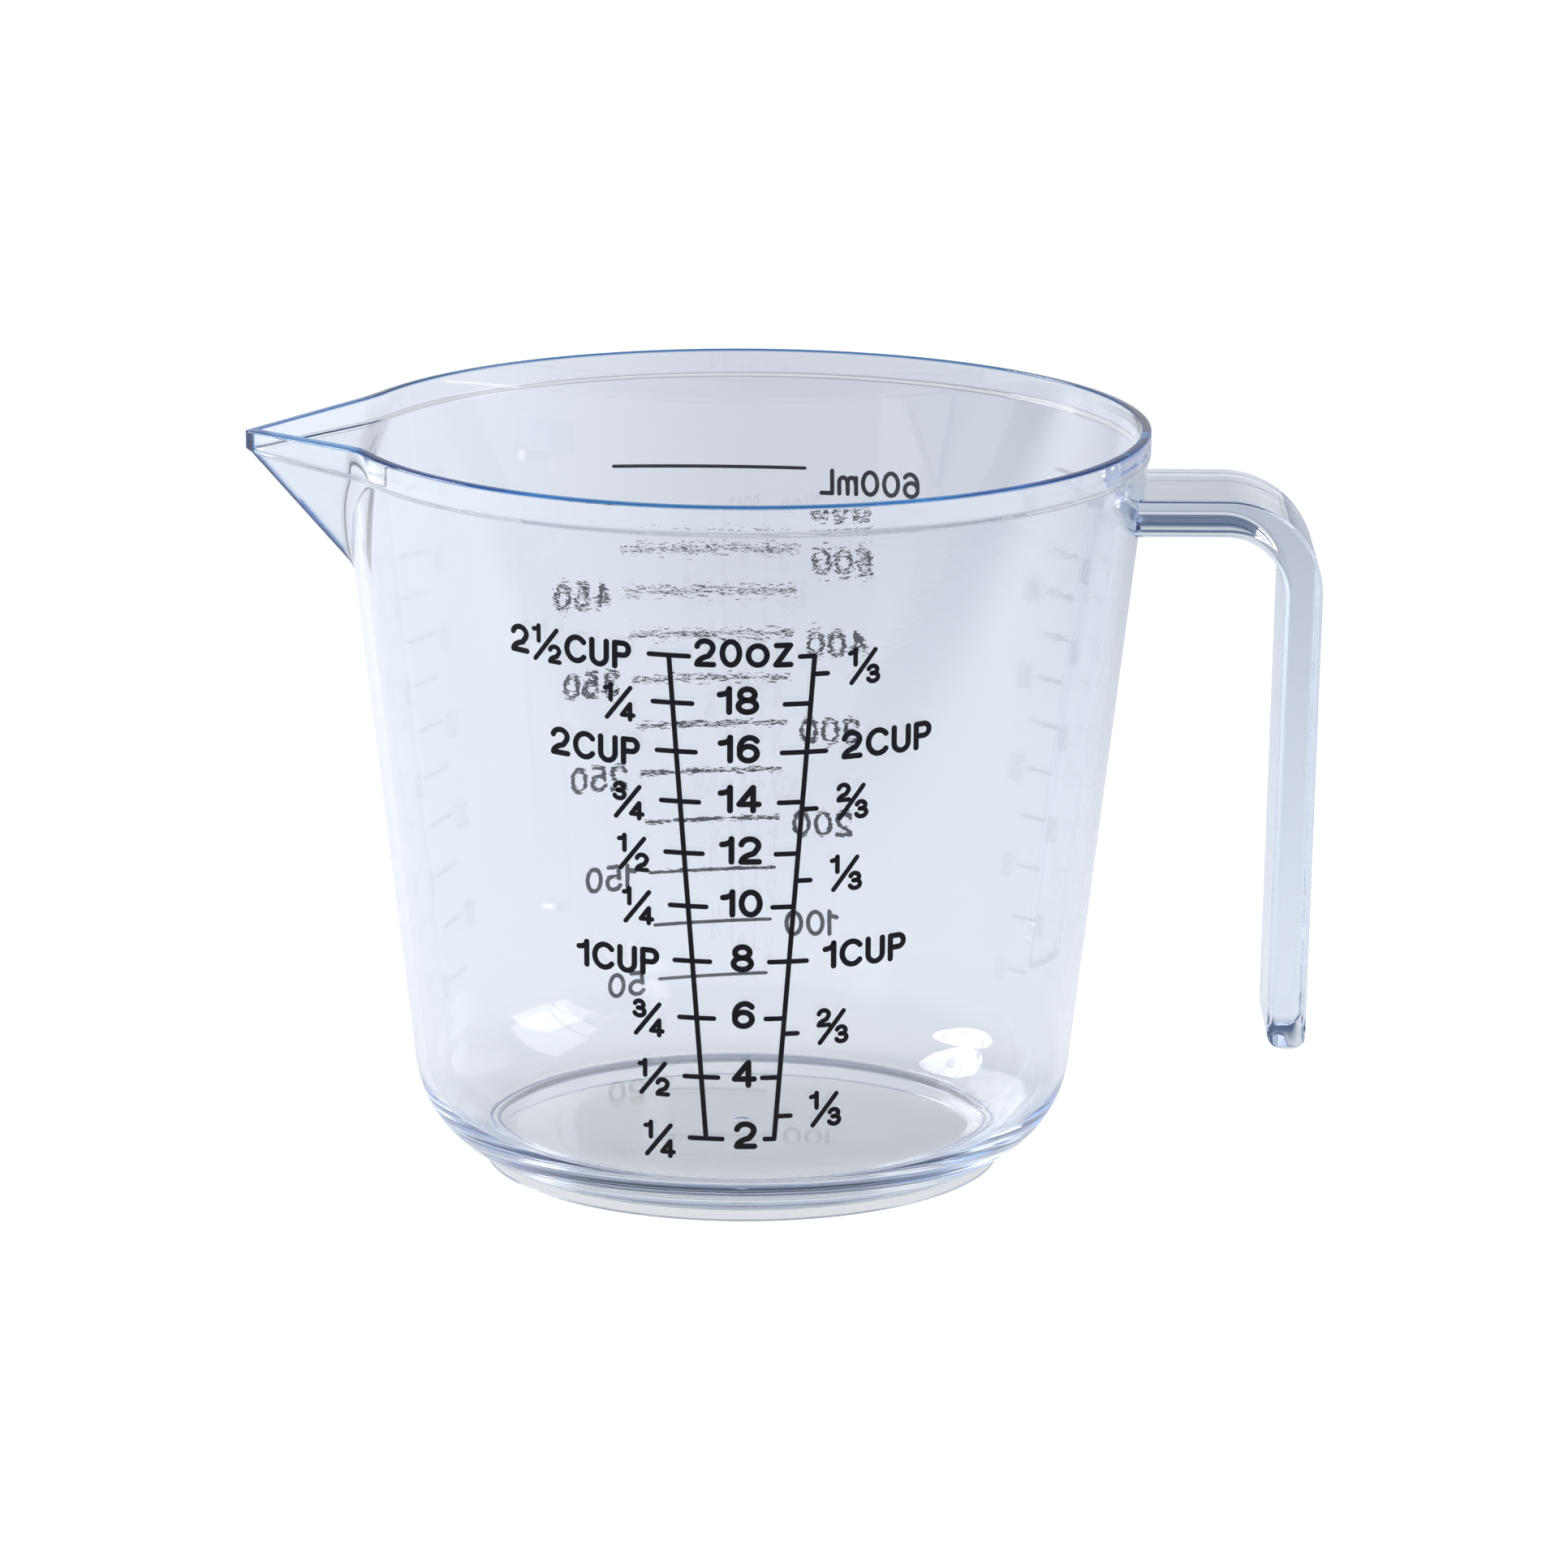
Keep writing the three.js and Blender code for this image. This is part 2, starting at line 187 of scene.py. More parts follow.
def new_piece(name: str, points: Array, faces: list[Array], axis_x: float) -> bpy.types.Object:
    """Make a smooth mesh object at the origin from points in millimetres about the cup's axis.

    Args:
        name: Name of the object and its mesh.
        points: Places of shape (points, 3), in millimetres.
        faces: Arrays of corner numbers, each of shape (faces, corners).
        axis_x: Row-frame x of the cup's axis, in metres.

    Returns:
        The new object, linked to the scene.
    """
    places = points * MM + np.array([axis_x, 0.0, 0.0])
    corners = np.concatenate([f.ravel() for f in faces]).astype(np.int32)
    counts = np.concatenate([np.full(len(f), f.shape[1]) for f in faces])
    starts = np.concatenate([[0], np.cumsum(counts)[:-1]]).astype(np.int32)
    mesh = bpy.data.meshes.new(name)
    mesh.vertices.add(len(places))
    mesh.vertices.foreach_set("co", places.ravel())
    mesh.loops.add(len(corners))
    mesh.loops.foreach_set("vertex_index", corners)
    mesh.polygons.add(len(counts))
    mesh.polygons.foreach_set("loop_start", starts)
    mesh.update(calc_edges=True)
    mesh.validate()
    mesh.shade_smooth()
    piece = bpy.data.objects.new(name, mesh)
    bpy.context.scene.collection.objects.link(piece)
    return piece


# Sub-assemblies


@dataclass(frozen=True)
class CupWall:
    """Tapered wall, round heel, raised floor and foot of the cup, in millimetres."""

    base_radius: float = 44.55
    lean: float = 0.1162
    thickness: float = 1.5
    floor_thickness: float = 1.5
    floor_rise: float = 1.6
    heel_radius: float = 15.2
    heel_fill: float = 4.7
    heel_lift: float = 0.8
    foot_inset: float = 8.15
    foot_width: float = 1.4
    headroom: float = 18.05
    top_mark: float = 600.0
    mm3_per_ml: float = 1000.0
    fill_span: float = 2.5
    fill_slices: int = 6000

    @property
    def slant(self) -> float:
        """Angle of the wall from upright, in radians."""
        return float(np.arctan(self.lean))

    @property
    def foot_radius(self) -> float:
        """Outside of the foot ring."""
        return self.base_radius - self.foot_inset

    @property
    def heel_centre(self) -> tuple[float, float]:
        """Radius and height of the middle of the outside heel round."""
        return self.round_centre(self.outer, self.heel_lift, self.heel_radius)

    @property
    def heel_end(self) -> float:
        """Angle below level at which the heel round meets the foot."""
        return float(np.arccos((self.foot_radius - self.heel_centre[0]) / self.heel_radius))

    @property
    def foot_top(self) -> float:
        """Height at which the foot ring leaves the heel."""
        return self.heel_centre[1] - self.heel_radius * float(np.sin(self.heel_end))

    @property
    def underside(self) -> float:
        """Height of the floor's underside."""
        return self.foot_top + self.floor_rise

    @property
    def floor(self) -> float:
        """Height of the floor's upper face."""
        return self.underside + self.floor_thickness

    @property
    def inner_heel_radius(self) -> float:
        """Radius of the round between the wall and the floor inside."""
        return self.heel_radius - self.heel_fill

    @property
    def inner_heel_centre(self) -> tuple[float, float]:
        """Radius and height of the middle of the inside heel round."""
        return self.round_centre(self.inner, self.floor, self.inner_heel_radius)

    @property
    def height(self) -> float:
        """Height of the rim: the highest mark and the room above it."""
        return float(self.fill_height(np.array([self.top_mark]))[0]) + self.headroom

    def outer(self, z: Array | float) -> Array | float:
        """Return the wall's outside radius at a height."""
        return self.base_radius + self.lean * z

    def inner(self, z: Array | float) -> Array | float:
        """Return the wall's inside radius at a height."""
        return self.outer(z) - self.thickness / np.cos(self.slant)

    def round_centre(self, line: Line, level: float, radius: float) -> tuple[float, float]:
        """Return the centre of a round that touches a tapered line and a level line.

        Args:
            line: Radius of the tapered line at a height.
            level: Height of the level line.
            radius: Radius of the round.

        Returns:
            Radius and height of the centre.
        """
        z = level + radius
        return float(line(z)) - radius / float(np.cos(self.slant)), z

    def fill_height(self, millilitres: Array) -> Array:
        """Return the heights that volumes fill the cup to.

        Formula: the volume below a height is the running sum of pi r² dz over the inside, read backwards,
        in fill_slices slices up to fill_span base radii.

        Args:
            millilitres: Volumes.

        Returns:
            Heights above the table.
        """
        z = np.linspace(self.floor, self.fill_span * self.base_radius, self.fill_slices)
        centre_r, centre_z = self.inner_heel_centre
        heel = np.sqrt(np.maximum(self.inner_heel_radius**2 - (centre_z - z) ** 2, 0))
        tangent_z = centre_z - self.inner_heel_radius * np.sin(self.slant)
        radius = np.where(z >= tangent_z, self.inner(z), centre_r + heel)
        slices = np.pi * ((radius[1:] + radius[:-1]) / 2) ** 2 * np.diff(z) / self.mm3_per_ml
        return np.interp(millilitres, np.concatenate([[0], np.cumsum(slices)]), z)

    def rolled(self, artwork: Array, facing: Facing) -> Array:
        """Roll flat artwork onto the outside of the wall.

        Formula: the wall unrolls to a fan about its apex, so a place's distance from the apex gives its
        height and its angle there, over the sine of the slant, gives its angle round the cup.

        Args:
            artwork: Places of shape (points, 3): right, up the slant from the table, and off the wall.
            facing: Side of the cup that the artwork's middle is on.

        Returns:
            Places about the cup's axis.
        """
        x, lift = artwork[:, 0], artwork[:, 2]
        table_slant = self.base_radius / np.sin(self.slant)
        y = artwork[:, 1] + table_slant
        slant_height = np.hypot(x, y)
        turn = np.radians(facing.value) + np.arctan2(x, y) / np.sin(self.slant)
        radius = slant_height * np.sin(self.slant) + lift * np.cos(self.slant)
        height = (slant_height - table_slant) * np.cos(self.slant) - lift * np.sin(self.slant)
        return np.stack([radius * np.cos(turn), radius * np.sin(turn), height], axis=-1)


@dataclass
class StrapHandle:
    """Flat strap whose arm leaves the wall level and bends into a leg that ends free, in millimetres."""

    wall: CupWall
    reach: float
    width: float = 22.4
    thickness: float = 5.4
    drop: float = 8.3
    bend_radius: float = 13.4
    lean: float = 1.1
    end_height: float = 18.3
    end_radius: float = 1.9
    outer_edge: float = 0.45
    inner_edge: float = 1.3
    end_ease: float = 0.3
    hold: float = 0.12
    least_edge: float = 0.25
    arc_points: int = 7
    root_depth: float = 0.75
    arm_rows: int = 14
    bend_rows: int = 30
    leg_rows: int = 30
    end_rows: int = 8

    def section(self, inset: Array) -> tuple[Array, Array]:
        """Return the strap's rounded rectangle, drawn in by an inset for each row.

        Formula: four corner arcs joined by straight runs, small on the outer face and larger on the
        finger side. Their radius shrinks with the inset until they are nearly sharp. A point just beside
        each arc keeps the flat faces flat. Across the width the outline is drawn in less, by end_ease.

        Args:
            inset: How far each row's outline is drawn in.

        Returns:
            Places across the thickness and across the width, each of shape (rows, outline).
        """
        arc = np.radians(np.concatenate([[0], np.linspace(0, 90, self.arc_points), [90]]))
        slide = np.tile(np.concatenate([[-self.hold], np.zeros(self.arc_points), [self.hold]]), 4)
        turn = np.concatenate([arc, arc + np.pi / 2, arc + np.pi, arc + 1.5 * np.pi])
        side_t = np.repeat([1, -1, -1, 1], len(arc))
        side_w = np.repeat([1, 1, -1, -1], len(arc))
        edge = np.where(side_t > 0, self.outer_edge, self.inner_edge)
        corner = np.maximum(edge - inset[:, None], self.least_edge)
        half_t = (self.thickness / 2 - inset)[:, None] - corner
        half_w = (self.width / 2 - inset * self.end_ease)[:, None] - corner
        across_t = side_t * half_t + corner * np.cos(turn) - slide * np.sin(turn)
        across_w = side_w * half_w + corner * np.sin(turn) + slide * np.cos(turn)
        return across_t, across_w

    def build(self) -> tuple[Array, list[Array]]:
        """Work out the strap.

        Formula: the rounded rectangle is carried along the arm, the quarter bend and the leaning leg. Over
        the last end_radius of the leg it is drawn in along a quarter circle. Along the arm the rows slide
        between the bend and the curved wall, so the root follows the wall just under its face.

        Returns:
            The places and the faces.
        """
        top = self.wall.height - self.drop
        middle = self.bend_radius - self.thickness / 2
        bend_x, bend_z = self.reach - self.bend_radius, top - self.bend_radius
        lean = np.radians(self.lean)
        turn = np.linspace(np.pi / 2, -lean, self.bend_rows)
        straight = (bend_z - self.end_height) / np.cos(lean) - self.end_radius
        end = self.end_radius * np.sin(np.linspace(0, np.pi / 2, self.end_rows))
        along = np.concatenate([np.linspace(0, straight - self.hold, self.leg_rows)[1:], straight + end])
        inset = np.zeros(self.arm_rows + self.bend_rows + len(along))
        inset[-self.end_rows :] = self.end_radius - np.sqrt(self.end_radius**2 - end**2)
        across_t, across_w = self.section(inset)
        angle = np.concatenate([np.full(self.arm_rows, np.pi / 2), turn, np.full(len(along), -lean)])[:, None]
        out = np.stack([np.cos(angle), np.sin(angle)])
        offset = middle + across_t
        x = bend_x + offset * out[0]
        z = bend_z + offset * out[1]
        legs = slice(self.arm_rows + self.bend_rows, None)
        x[legs] -= np.sin(lean) * along[:, None]
        z[legs] -= np.cos(lean) * along[:, None]
        arm = slice(0, self.arm_rows)
        root = np.sqrt((self.wall.outer(z[arm]) - self.root_depth) ** 2 - across_w[arm] ** 2)
        share = np.linspace(0, 1, self.arm_rows + 1)[:-1, None]
        x[arm] = root + (x[arm] - root) * share
        points = np.stack([x, -across_w, z], axis=-1)
        rows, columns = x.shape
        faces = grid_faces(rows, columns, closed=True)
        first = np.arange(columns)[None, ::-1]
        last = np.arange((rows - 1) * columns, rows * columns)[None, :]
        return points.reshape(-1, 3), [faces, first, last]


@dataclass
class ClearMoulding:
    """The one clear moulding: wall, heel, floor, foot, rim band, spout and handle, in millimetres."""

    wall: CupWall
    axis_x: float
    band_height: float = 3.9
    band_step: float = 0.3
    band_ramp: float = 1.1
    rim_round: float = 0.15
    lip_fall: float = 0.1
    foot_round: float = 0.3
    gate_radius: float = 1.2
    gate_depth: float = 0.5
    spout_projection: float = 13.4
    spout_half_width: float = 20.6
    spout_tip_radius: float = 1.6
    spout_crease_radius: float = 0.5
    spout_drop: float = 20.8
    spout_dip: float = 1.3
    spout_blend: float = 1.0
    keel_spread: float = 1.7
    handle_standoff: float = 23.7
    heel_round: float = 0.25
    heel_ease: float = 0.035
    # Rows and columns of the grid
    row_gap: float = 0.25
    fine_from: float = 80.0
    fine_step: float = 0.45
    fine_gap: float = 0.6
    band_gap: float = 0.8
    band_start: float = 0.2
    heel_gap: float = 1.0
    well_top: float = 16.0
    wall_rows: int = 22
    gate_rows: int = 5
    step_rows: int = 9
    lip_rows: int = 6
    heel_rows: int = 26
    well_rows: int = 20
    bore_rows: tuple[float, ...] = (2.2, 1.2)
    foot_rows: tuple[float, ...] = (0.7, 1.2)
    underside_rings: tuple[float, ...] = (1.6, 4, 9, 15, 21, 27, 31, 33.5, 34.4)
    floor_rings: tuple[float, ...] = (33.6, 31, 26, 20, 13, 7, 2.5)
    tip_columns: tuple[float, ...] = (
        0, 0.05, 0.1, 0.15, 0.2, 0.25, 0.3, 0.36, 0.45, 0.55, 0.65, 0.75, 0.85, 0.95, 1.1, 1.3, 1.6, 2.0
    )
    side_columns: Triple = (2.5, 30.1, 0.5)
    round_columns: Triple = (32, 180, 2)
    sharp_from: float = 40.0

    @property
    def band_z(self) -> float:
        """Lower edge of the rim band."""
        return self.wall.height - self.band_height

    @property
    def rim_radius(self) -> float:
        """Outside of the rim band."""
        return float(self.wall.outer(self.band_z)) + self.band_step

    @property
    def junction_x(self) -> float:
        """How far along the spout its sides leave the rim."""
        return float(np.sqrt(self.rim_radius**2 - self.spout_half_width**2))

    @property
    def spout_corner(self) -> float:
        """Distance of the spout's sharp corner from the axis."""
        return self.rim_radius + self.spout_projection

    @property
    def spout_angle(self) -> float:
        """Angle of each side of the spout from its middle plane."""
        return float(np.arctan2(self.spout_half_width, self.spout_corner - self.junction_x))

    @property
    def keel_slope(self) -> float:
        """How far the spout draws back for each millimetre below the band."""
        reach = self.spout_corner - self.spout_tip_radius * (1 / np.sin(self.spout_angle) - 1)
        run = reach - self.band_step - self.wall.outer(self.wall.height - self.spout_drop)
        return float(run / (self.spout_drop - self.band_height))

    def columns(self) -> Array:
        """Return the angles of the grid's columns from the spout, closest at its tip and its sides."""
        half = np.concatenate([self.tip_columns, np.arange(*self.side_columns), np.arange(*self.round_columns)])
        return np.radians(np.concatenate([-half[:0:-1], half, [180]]))

    def profile(self) -> Array:
        """Return the moulding's closed outline in section, from the underside's middle to the floor's.

        Formula: straight runs and arcs in the order underside, foot, heel, wall, band, rim, inside wall,
        inside heel, floor, with each sharp corner replaced by a small arc.

        Returns:
            Rows of radius, height, inset of the spout's sides, radius of the spout's tip and share of lip.
        """
        wall, under = self.wall, self.wall.underside
        foot, bore = wall.foot_radius, wall.foot_radius - wall.foot_width
        dimple = np.linspace(1 / self.gate_rows, 1, self.gate_rows)
        heel_turn = np.linspace(-wall.heel_end + self.heel_ease, -wall.slant, self.heel_rows)
        heel = round_rows(wall.heel_centre, wall.heel_radius, heel_turn)
        heel_next = [foot + np.sin(wall.heel_end), wall.foot_top + np.cos(wall.heel_end)]
        path = np.array([[0, under], [bore, under], [bore, 0], [foot, 0], [foot, wall.foot_top], heel_next])
        radii = (self.foot_round, self.foot_round, self.foot_round, self.heel_round)
        rounds = [rounded_corner(*path[i : i + 3], radius) for i, radius in enumerate(radii)]
        gate = rows_at(dimple * self.gate_radius, under + self.gate_depth * (1 - smooth_step(dimple)))
        flat = rows_at(np.array(self.underside_rings), under)
        foot_in, foot_out = rows_at(bore, np.array(self.bore_rows)), rows_at(foot, np.array(self.foot_rows))
        base = np.concatenate([gate, flat, rounds[0], foot_in, *rounds[1:3], foot_out, rounds[3], heel])
        low_z = np.linspace(heel[-1, 1] + self.heel_gap, self.fine_from, self.wall_rows)
        high_z = np.arange(self.fine_from + self.fine_gap, self.band_z - self.band_gap, self.fine_step)
        side_z = np.concatenate([low_z, high_z])
        rise = np.linspace(0, 1, self.step_rows)
        step_z = self.band_z + self.band_ramp * (rise - 0.5)
        step_from = wall.outer(step_z[0])
        step = rows_at(step_from + (self.rim_radius - step_from) * smooth_step(rise), step_z)
        lip_foot = wall.height - self.rim_round - self.row_gap
        strip_z = np.linspace(step_z[-1] + self.band_start, lip_foot - self.lip_fall, self.lip_rows)
        band = rows_at(self.rim_radius, strip_z)
        turn = np.linspace(0, np.pi / 2, self.lip_rows)
        draw = self.rim_round * (1 - np.cos(turn))
        rim_z = wall.height - self.rim_round * (1 - np.sin(turn))
        back = draw[::-1]
        high_z = np.arange(lip_foot, self.fine_from, -self.fine_step)
        low_z = np.linspace(self.fine_from - self.fine_gap, self.well_top, self.wall_rows)
        in_z = np.concatenate([high_z, low_z])
        well_turn = np.linspace(-wall.slant, -np.pi / 2, self.well_rows)
        tip, crease = self.spout_tip_radius, self.spout_crease_radius
        channel = self.band_step + wall.thickness
        blocks = [
            (base, self.band_step, tip, 0),
            (rows_at(wall.outer(side_z), side_z), self.band_step, tip, 0),
            (step, self.band_step * (1 - smooth_step(rise)), tip, 0),
            (band, 0, tip, 0),
            (rows_at(self.rim_radius - draw, rim_z - self.lip_fall), draw, tip - draw, 1),
            (rows_at(float(wall.inner(wall.height)) + back, rim_z[::-1]), channel - back, crease + back, 1),
            (rows_at(wall.inner(in_z), in_z), channel, crease, 0),
            (round_rows(wall.inner_heel_centre, wall.inner_heel_radius, well_turn), channel, crease, 0),
            (rows_at(np.array(self.floor_rings), wall.floor), channel, crease, 0),
        ]
        shares = [[np.broadcast_to(value, len(rows)) for value in values] for rows, *values in blocks]
        return np.concatenate([np.column_stack([block[0], *more]) for block, more in zip(blocks, shares)])

    def build_cup(self) -> tuple[Array, list[Array], Array]:
        """Work out the cup with its spout as one closed surface.

        Formula: each row of the profile is a circle about the axis. Towards -X it gives way to the larger
        of the circle and the spout's V, whose side lies at distance / sin(spout angle + angle from -X) and
        whose tip is a small circle. Below the band the V slides back along the keel. Over the spout the band
        is pressed down towards the tip by the lip's dip.

        Returns:
            The places, the faces and each place's share of edge, where the plastic gets its painted blue edge shade:
            1 on the lip, the spout's tip and its keel.
        """
        rows = self.profile()
        radius, z, inset, tip, lip = (rows[:, i : i + 1] for i in range(5))
        psi = self.columns()[None, :]
        a = self.spout_angle
        corner = self.spout_corner - inset / np.sin(a) - self.keel_slope * np.maximum(self.band_z - z, 0)
        side = corner * np.sin(a) / np.sin(a + np.minimum(np.abs(psi), np.pi / 2 - a))
        centre = np.maximum(corner - tip / np.sin(a), 0)
        round_end = np.arctan2(tip * np.cos(a), centre + tip * np.sin(a))
        nose = centre * np.cos(psi) + np.sqrt(np.maximum(tip**2 - (centre * np.sin(psi)) ** 2, 0))
        wedge = np.where((np.abs(psi) < round_end) & (centre > 0), nose, side)
        reach = smooth_max(radius + 0 * psi, wedge, self.spout_blend)
        nosed = np.abs(psi) < round_end * self.keel_spread
        keel = nosed & (inset <= self.band_step) & (wedge > radius + self.spout_blend)
        edge = np.append(np.maximum(lip, keel).ravel(), [0, 0])
        x, y = -reach * np.cos(psi), -reach * np.sin(psi)
        along = np.clip((-x - self.junction_x) / (self.spout_corner - self.junction_x), 0, 1)
        share = np.clip((z - self.band_z) / self.band_height, 0, 1)
        heights = z - self.spout_dip * along * share
        points = np.stack([x, y, heights], axis=-1).reshape(-1, 3)
        count, columns = reach.shape
        poles = np.array([[0, 0, self.wall.underside + self.gate_depth], [0, 0, self.wall.floor]])
        ring = np.arange(columns)
        beside = np.roll(ring, -1)
        low, high = len(points), len(points) + 1
        under = np.stack([np.full(columns, low), beside, ring], axis=-1)
        base = (count - 1) * columns
        over = np.stack([np.full(columns, high), base + ring, base + beside], axis=-1)
        return np.concatenate([points, poles]), [grid_faces(count, columns, closed=True), under, over], edge

    def build(self) -> bpy.types.Object:
        """Join the cup and the strap into the one moulding.

        Returns:
            The moulding, a closed mesh without live modifiers.
        """
        handle = StrapHandle(self.wall, self.rim_radius + self.handle_standoff)
        points, faces, edge = self.build_cup()
        cup = new_piece("clear_moulding", points, faces, self.axis_x)
        # Share of edge that takes the plastic's painted blue edge shade.
        cup.data.attributes.new(PAINTED_EDGE_MASK, "FLOAT", "POINT").data.foreach_set("value", edge)
        strap = new_piece("strap", *handle.build(), self.axis_x)
        join = cup.modifiers.new("join", "BOOLEAN")
        join.operation = "UNION"
        join.solver = "EXACT"
        join.object = strap
        whole = bpy.data.meshes.new_from_object(cup.evaluated_get(bpy.context.evaluated_depsgraph_get()))
        cup.modifiers.clear()
        loose = [cup.data, strap.data]
        cup.data = whole
        bpy.data.objects.remove(strap)
        for mesh in loose:
            bpy.data.meshes.remove(mesh)
        whole.name = "clear_moulding"
        whole.shade_smooth()
        whole.set_sharp_from_angle(angle=np.radians(self.sharp_from))
        return cup

    def dress(self, piece: bpy.types.Object, finish: "ClearPlastic") -> None:
        """Give the moulding its finish and let it stand for the clear CAD solids.

        Args:
            piece: The moulding.
            finish: Its finish.
        """
        piece.data.materials.clear()
        piece.data.materials.append(finish.material())
        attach(piece, BODY)
        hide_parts("cup_shell", "rim_band", "pouring_spout", "foot_ring", "handle")


def line(*places: tuple[float, float]) -> Array:
    """Return a straight stroke through places."""
    return np.array(places, dtype=float)


def arc(x: float, y: float, half_width: float, half_height: float, start: float, end: float) -> Array:
    """Return a stroke along an ellipse: centre plus half sizes times cosine and sine of the angle.

    Args:
        x: Centre.
        y: Centre.
        half_width: Half of the ellipse's width.
        half_height: Half of its height.
        start: First angle in degrees, anticlockwise from the right.
        end: Last angle.

    Returns:
        Points of the stroke.
    """
    t = np.radians(np.linspace(start, end, ARC_POINTS))
    return np.stack([x + half_width * np.cos(t), y + half_height * np.sin(t)], axis=-1)


def joined(*parts: Array) -> Array:
    """Return one stroke that runs through the parts in order."""
    return np.concatenate(parts)


@dataclass(frozen=True)
class Lettering:
    """Plain numerals and letters of one stroke width. A glyph is one unit high between stroke middles."""

    height: float = 4.1
    stroke: float = 0.78
    spacing: float = 0.42
    wide: float = 1.04
    fraction_height: float = 5.4
    fraction_digit: float = 2.8
    fraction_width: float = 4.6
    fraction_stroke: float = 0.65
    slash_low: tuple[float, float] = (0.55, 0.35)
    slash_high: tuple[float, float] = (0.75, 0.6)
    glyphs: dict[str, list[Array]] = field(
        default_factory=lambda: {
            "0": [arc(0.33, 0.5, 0.33, 0.5, 0, 360)],
            "1": [
                line((0.34, 0), (0.34, 1)),
                joined(line((0.0, 0.75), (0.12, 0.77)), arc(0.1, 1.0, 0.24, 0.22, -80, 0)),
            ],
            "2": [
                joined(arc(0.33, 0.71, 0.31, 0.29, 170, -28), arc(0.74, -0.03, 0.72, 0.42, 112, 176)),
                line((0.02, 0), (0.66, 0)),
            ],
            "3": [
                joined(arc(0.31, 0.755, 0.27, 0.245, 165, -80), line((0.23, 0.52))),
                joined(line((0.23, 0.52)), arc(0.32, 0.27, 0.32, 0.27, 82, -160)),
            ],
            "4": [line((0.5, 0), (0.5, 1)), line((0.48, 0.98), (0.0, 0.27)), line((0.0, 0.27), (0.7, 0.27))],
            "5": [
                line((0.12, 1), (0.59, 1)),
                line((0.12, 1), (0.06, 0.5)),
                joined(line((0.06, 0.5)), arc(0.32, 0.31, 0.33, 0.31, 128, -155)),
            ],
            "6": [
                arc(0.32, 0.31, 0.31, 0.31, 0, 360),
                arc(0.37, 0.5, 0.36, 0.5, 195, 45),
            ],
            "8": [arc(0.32, 0.755, 0.265, 0.245, 0, 360), arc(0.32, 0.26, 0.32, 0.26, 0, 360)],
            "C": [arc(0.41, 0.5, 0.41, 0.5, 40, 320)],
            "U": [joined(line((0.0, 1)), arc(0.3, 0.32, 0.3, 0.32, 180, 360), line((0.6, 1)))],
            "P": [
                line((0, 0), (0, 1)),
                joined(line((0, 1)), arc(0.34, 0.745, 0.22, 0.255, 90, -90), line((0, 0.49))),
            ],
            "o": [arc(0.36, 0.41, 0.36, 0.41, 0, 360)],
            "z": [line((0.02, 0.82), (0.56, 0.82)), line((0.55, 0.81), (0.01, 0.01)), line((0, 0), (0.57, 0))],
            "m": [
                line((0, 0), (0, 0.72)),
                joined(line((0, 0.42)), arc(0.2, 0.52, 0.18, 0.2, 180, 0), line((0.38, 0))),
                joined(line((0.38, 0.42)), arc(0.58, 0.52, 0.18, 0.2, 180, 0), line((0.76, 0))),
            ],
            "L": [line((0, 1), (0, 0)), line((0, 0), (0.48, 0))],
        }
    )
    fractions: dict[str, str] = field(
        default_factory=lambda: {"¼": "14", "½": "12", "¾": "34", "⅓": "13", "⅔": "23"}
    )

    def glyph(self, sign: str, x: float, y: float, height: float, stroke: float) -> tuple[list[Array], float]:
        """Return a sign's strokes with its lower left corner at a place, and the x of its right edge.

        Args:
            sign: The numeral or letter.
            x: Left edge of the ink.
            y: Lower edge of the ink.
            height: Height of a capital, ink included.
            stroke: Width of the stroke.

        Returns:
            The strokes and the right edge.
        """
        scale = height - stroke
        shift = np.array([x + stroke / 2, y + stroke / 2])
        strokes = [shift + scale * path * (self.wide, 1) for path in self.glyphs[sign]]
        return strokes, max(float(path[:, 0].max()) for path in strokes) + stroke / 2

    def fraction(self, sign: str, x: float, y: float) -> tuple[list[Array], float]:
        """Return a fraction's strokes: two small numerals on each side of a slash.

        Args:
            sign: The fraction.
            x: Left edge of the ink.
            y: Lower edge of a full numeral beside it.

        Returns:
            The strokes and the right edge.
        """
        above, below = self.fractions[sign]
        low = y + (self.height - self.fraction_height) / 2
        high = low + self.fraction_height
        first, _ = self.glyph(above, x, high - self.fraction_digit, self.fraction_digit, self.fraction_stroke)
        second, edge = self.glyph(below, 0, low, self.fraction_digit, self.fraction_stroke)
        push = np.array([x + self.fraction_width - edge, 0])
        right = x + self.fraction_width
        (in_low, up_low), (in_high, down_high) = self.slash_low, self.slash_high
        slash = line((x + in_low, low + up_low), (right - in_high, high - down_high))
        return [*first, *(path + push for path in second), slash], right

    def label(self, text: str, x: float, y: float, align: Align) -> Strokes:
        """Return a label's strokes and their widths.

        Args:
            text: The label.
            x: Place that its edge or middle stands at.
            y: Height of its middle.
            align: Which edge, or the middle.

        Returns:
            Pairs of stroke and width.
        """
        at, found = 0.0, []
        for sign in text:
            if sign in self.fractions:
                strokes, edge = self.fraction(sign, at, y - self.height / 2)
                width = self.fraction_stroke
            else:
                strokes, edge = self.glyph(sign, at, y - self.height / 2, self.height, self.stroke)
                width = self.stroke
            found += [(path, width) for path in strokes]
            at = edge + self.spacing
        shift = np.array([x - align.value * (at - self.spacing), 0])
        return [(path + shift, width) for path, width in found]


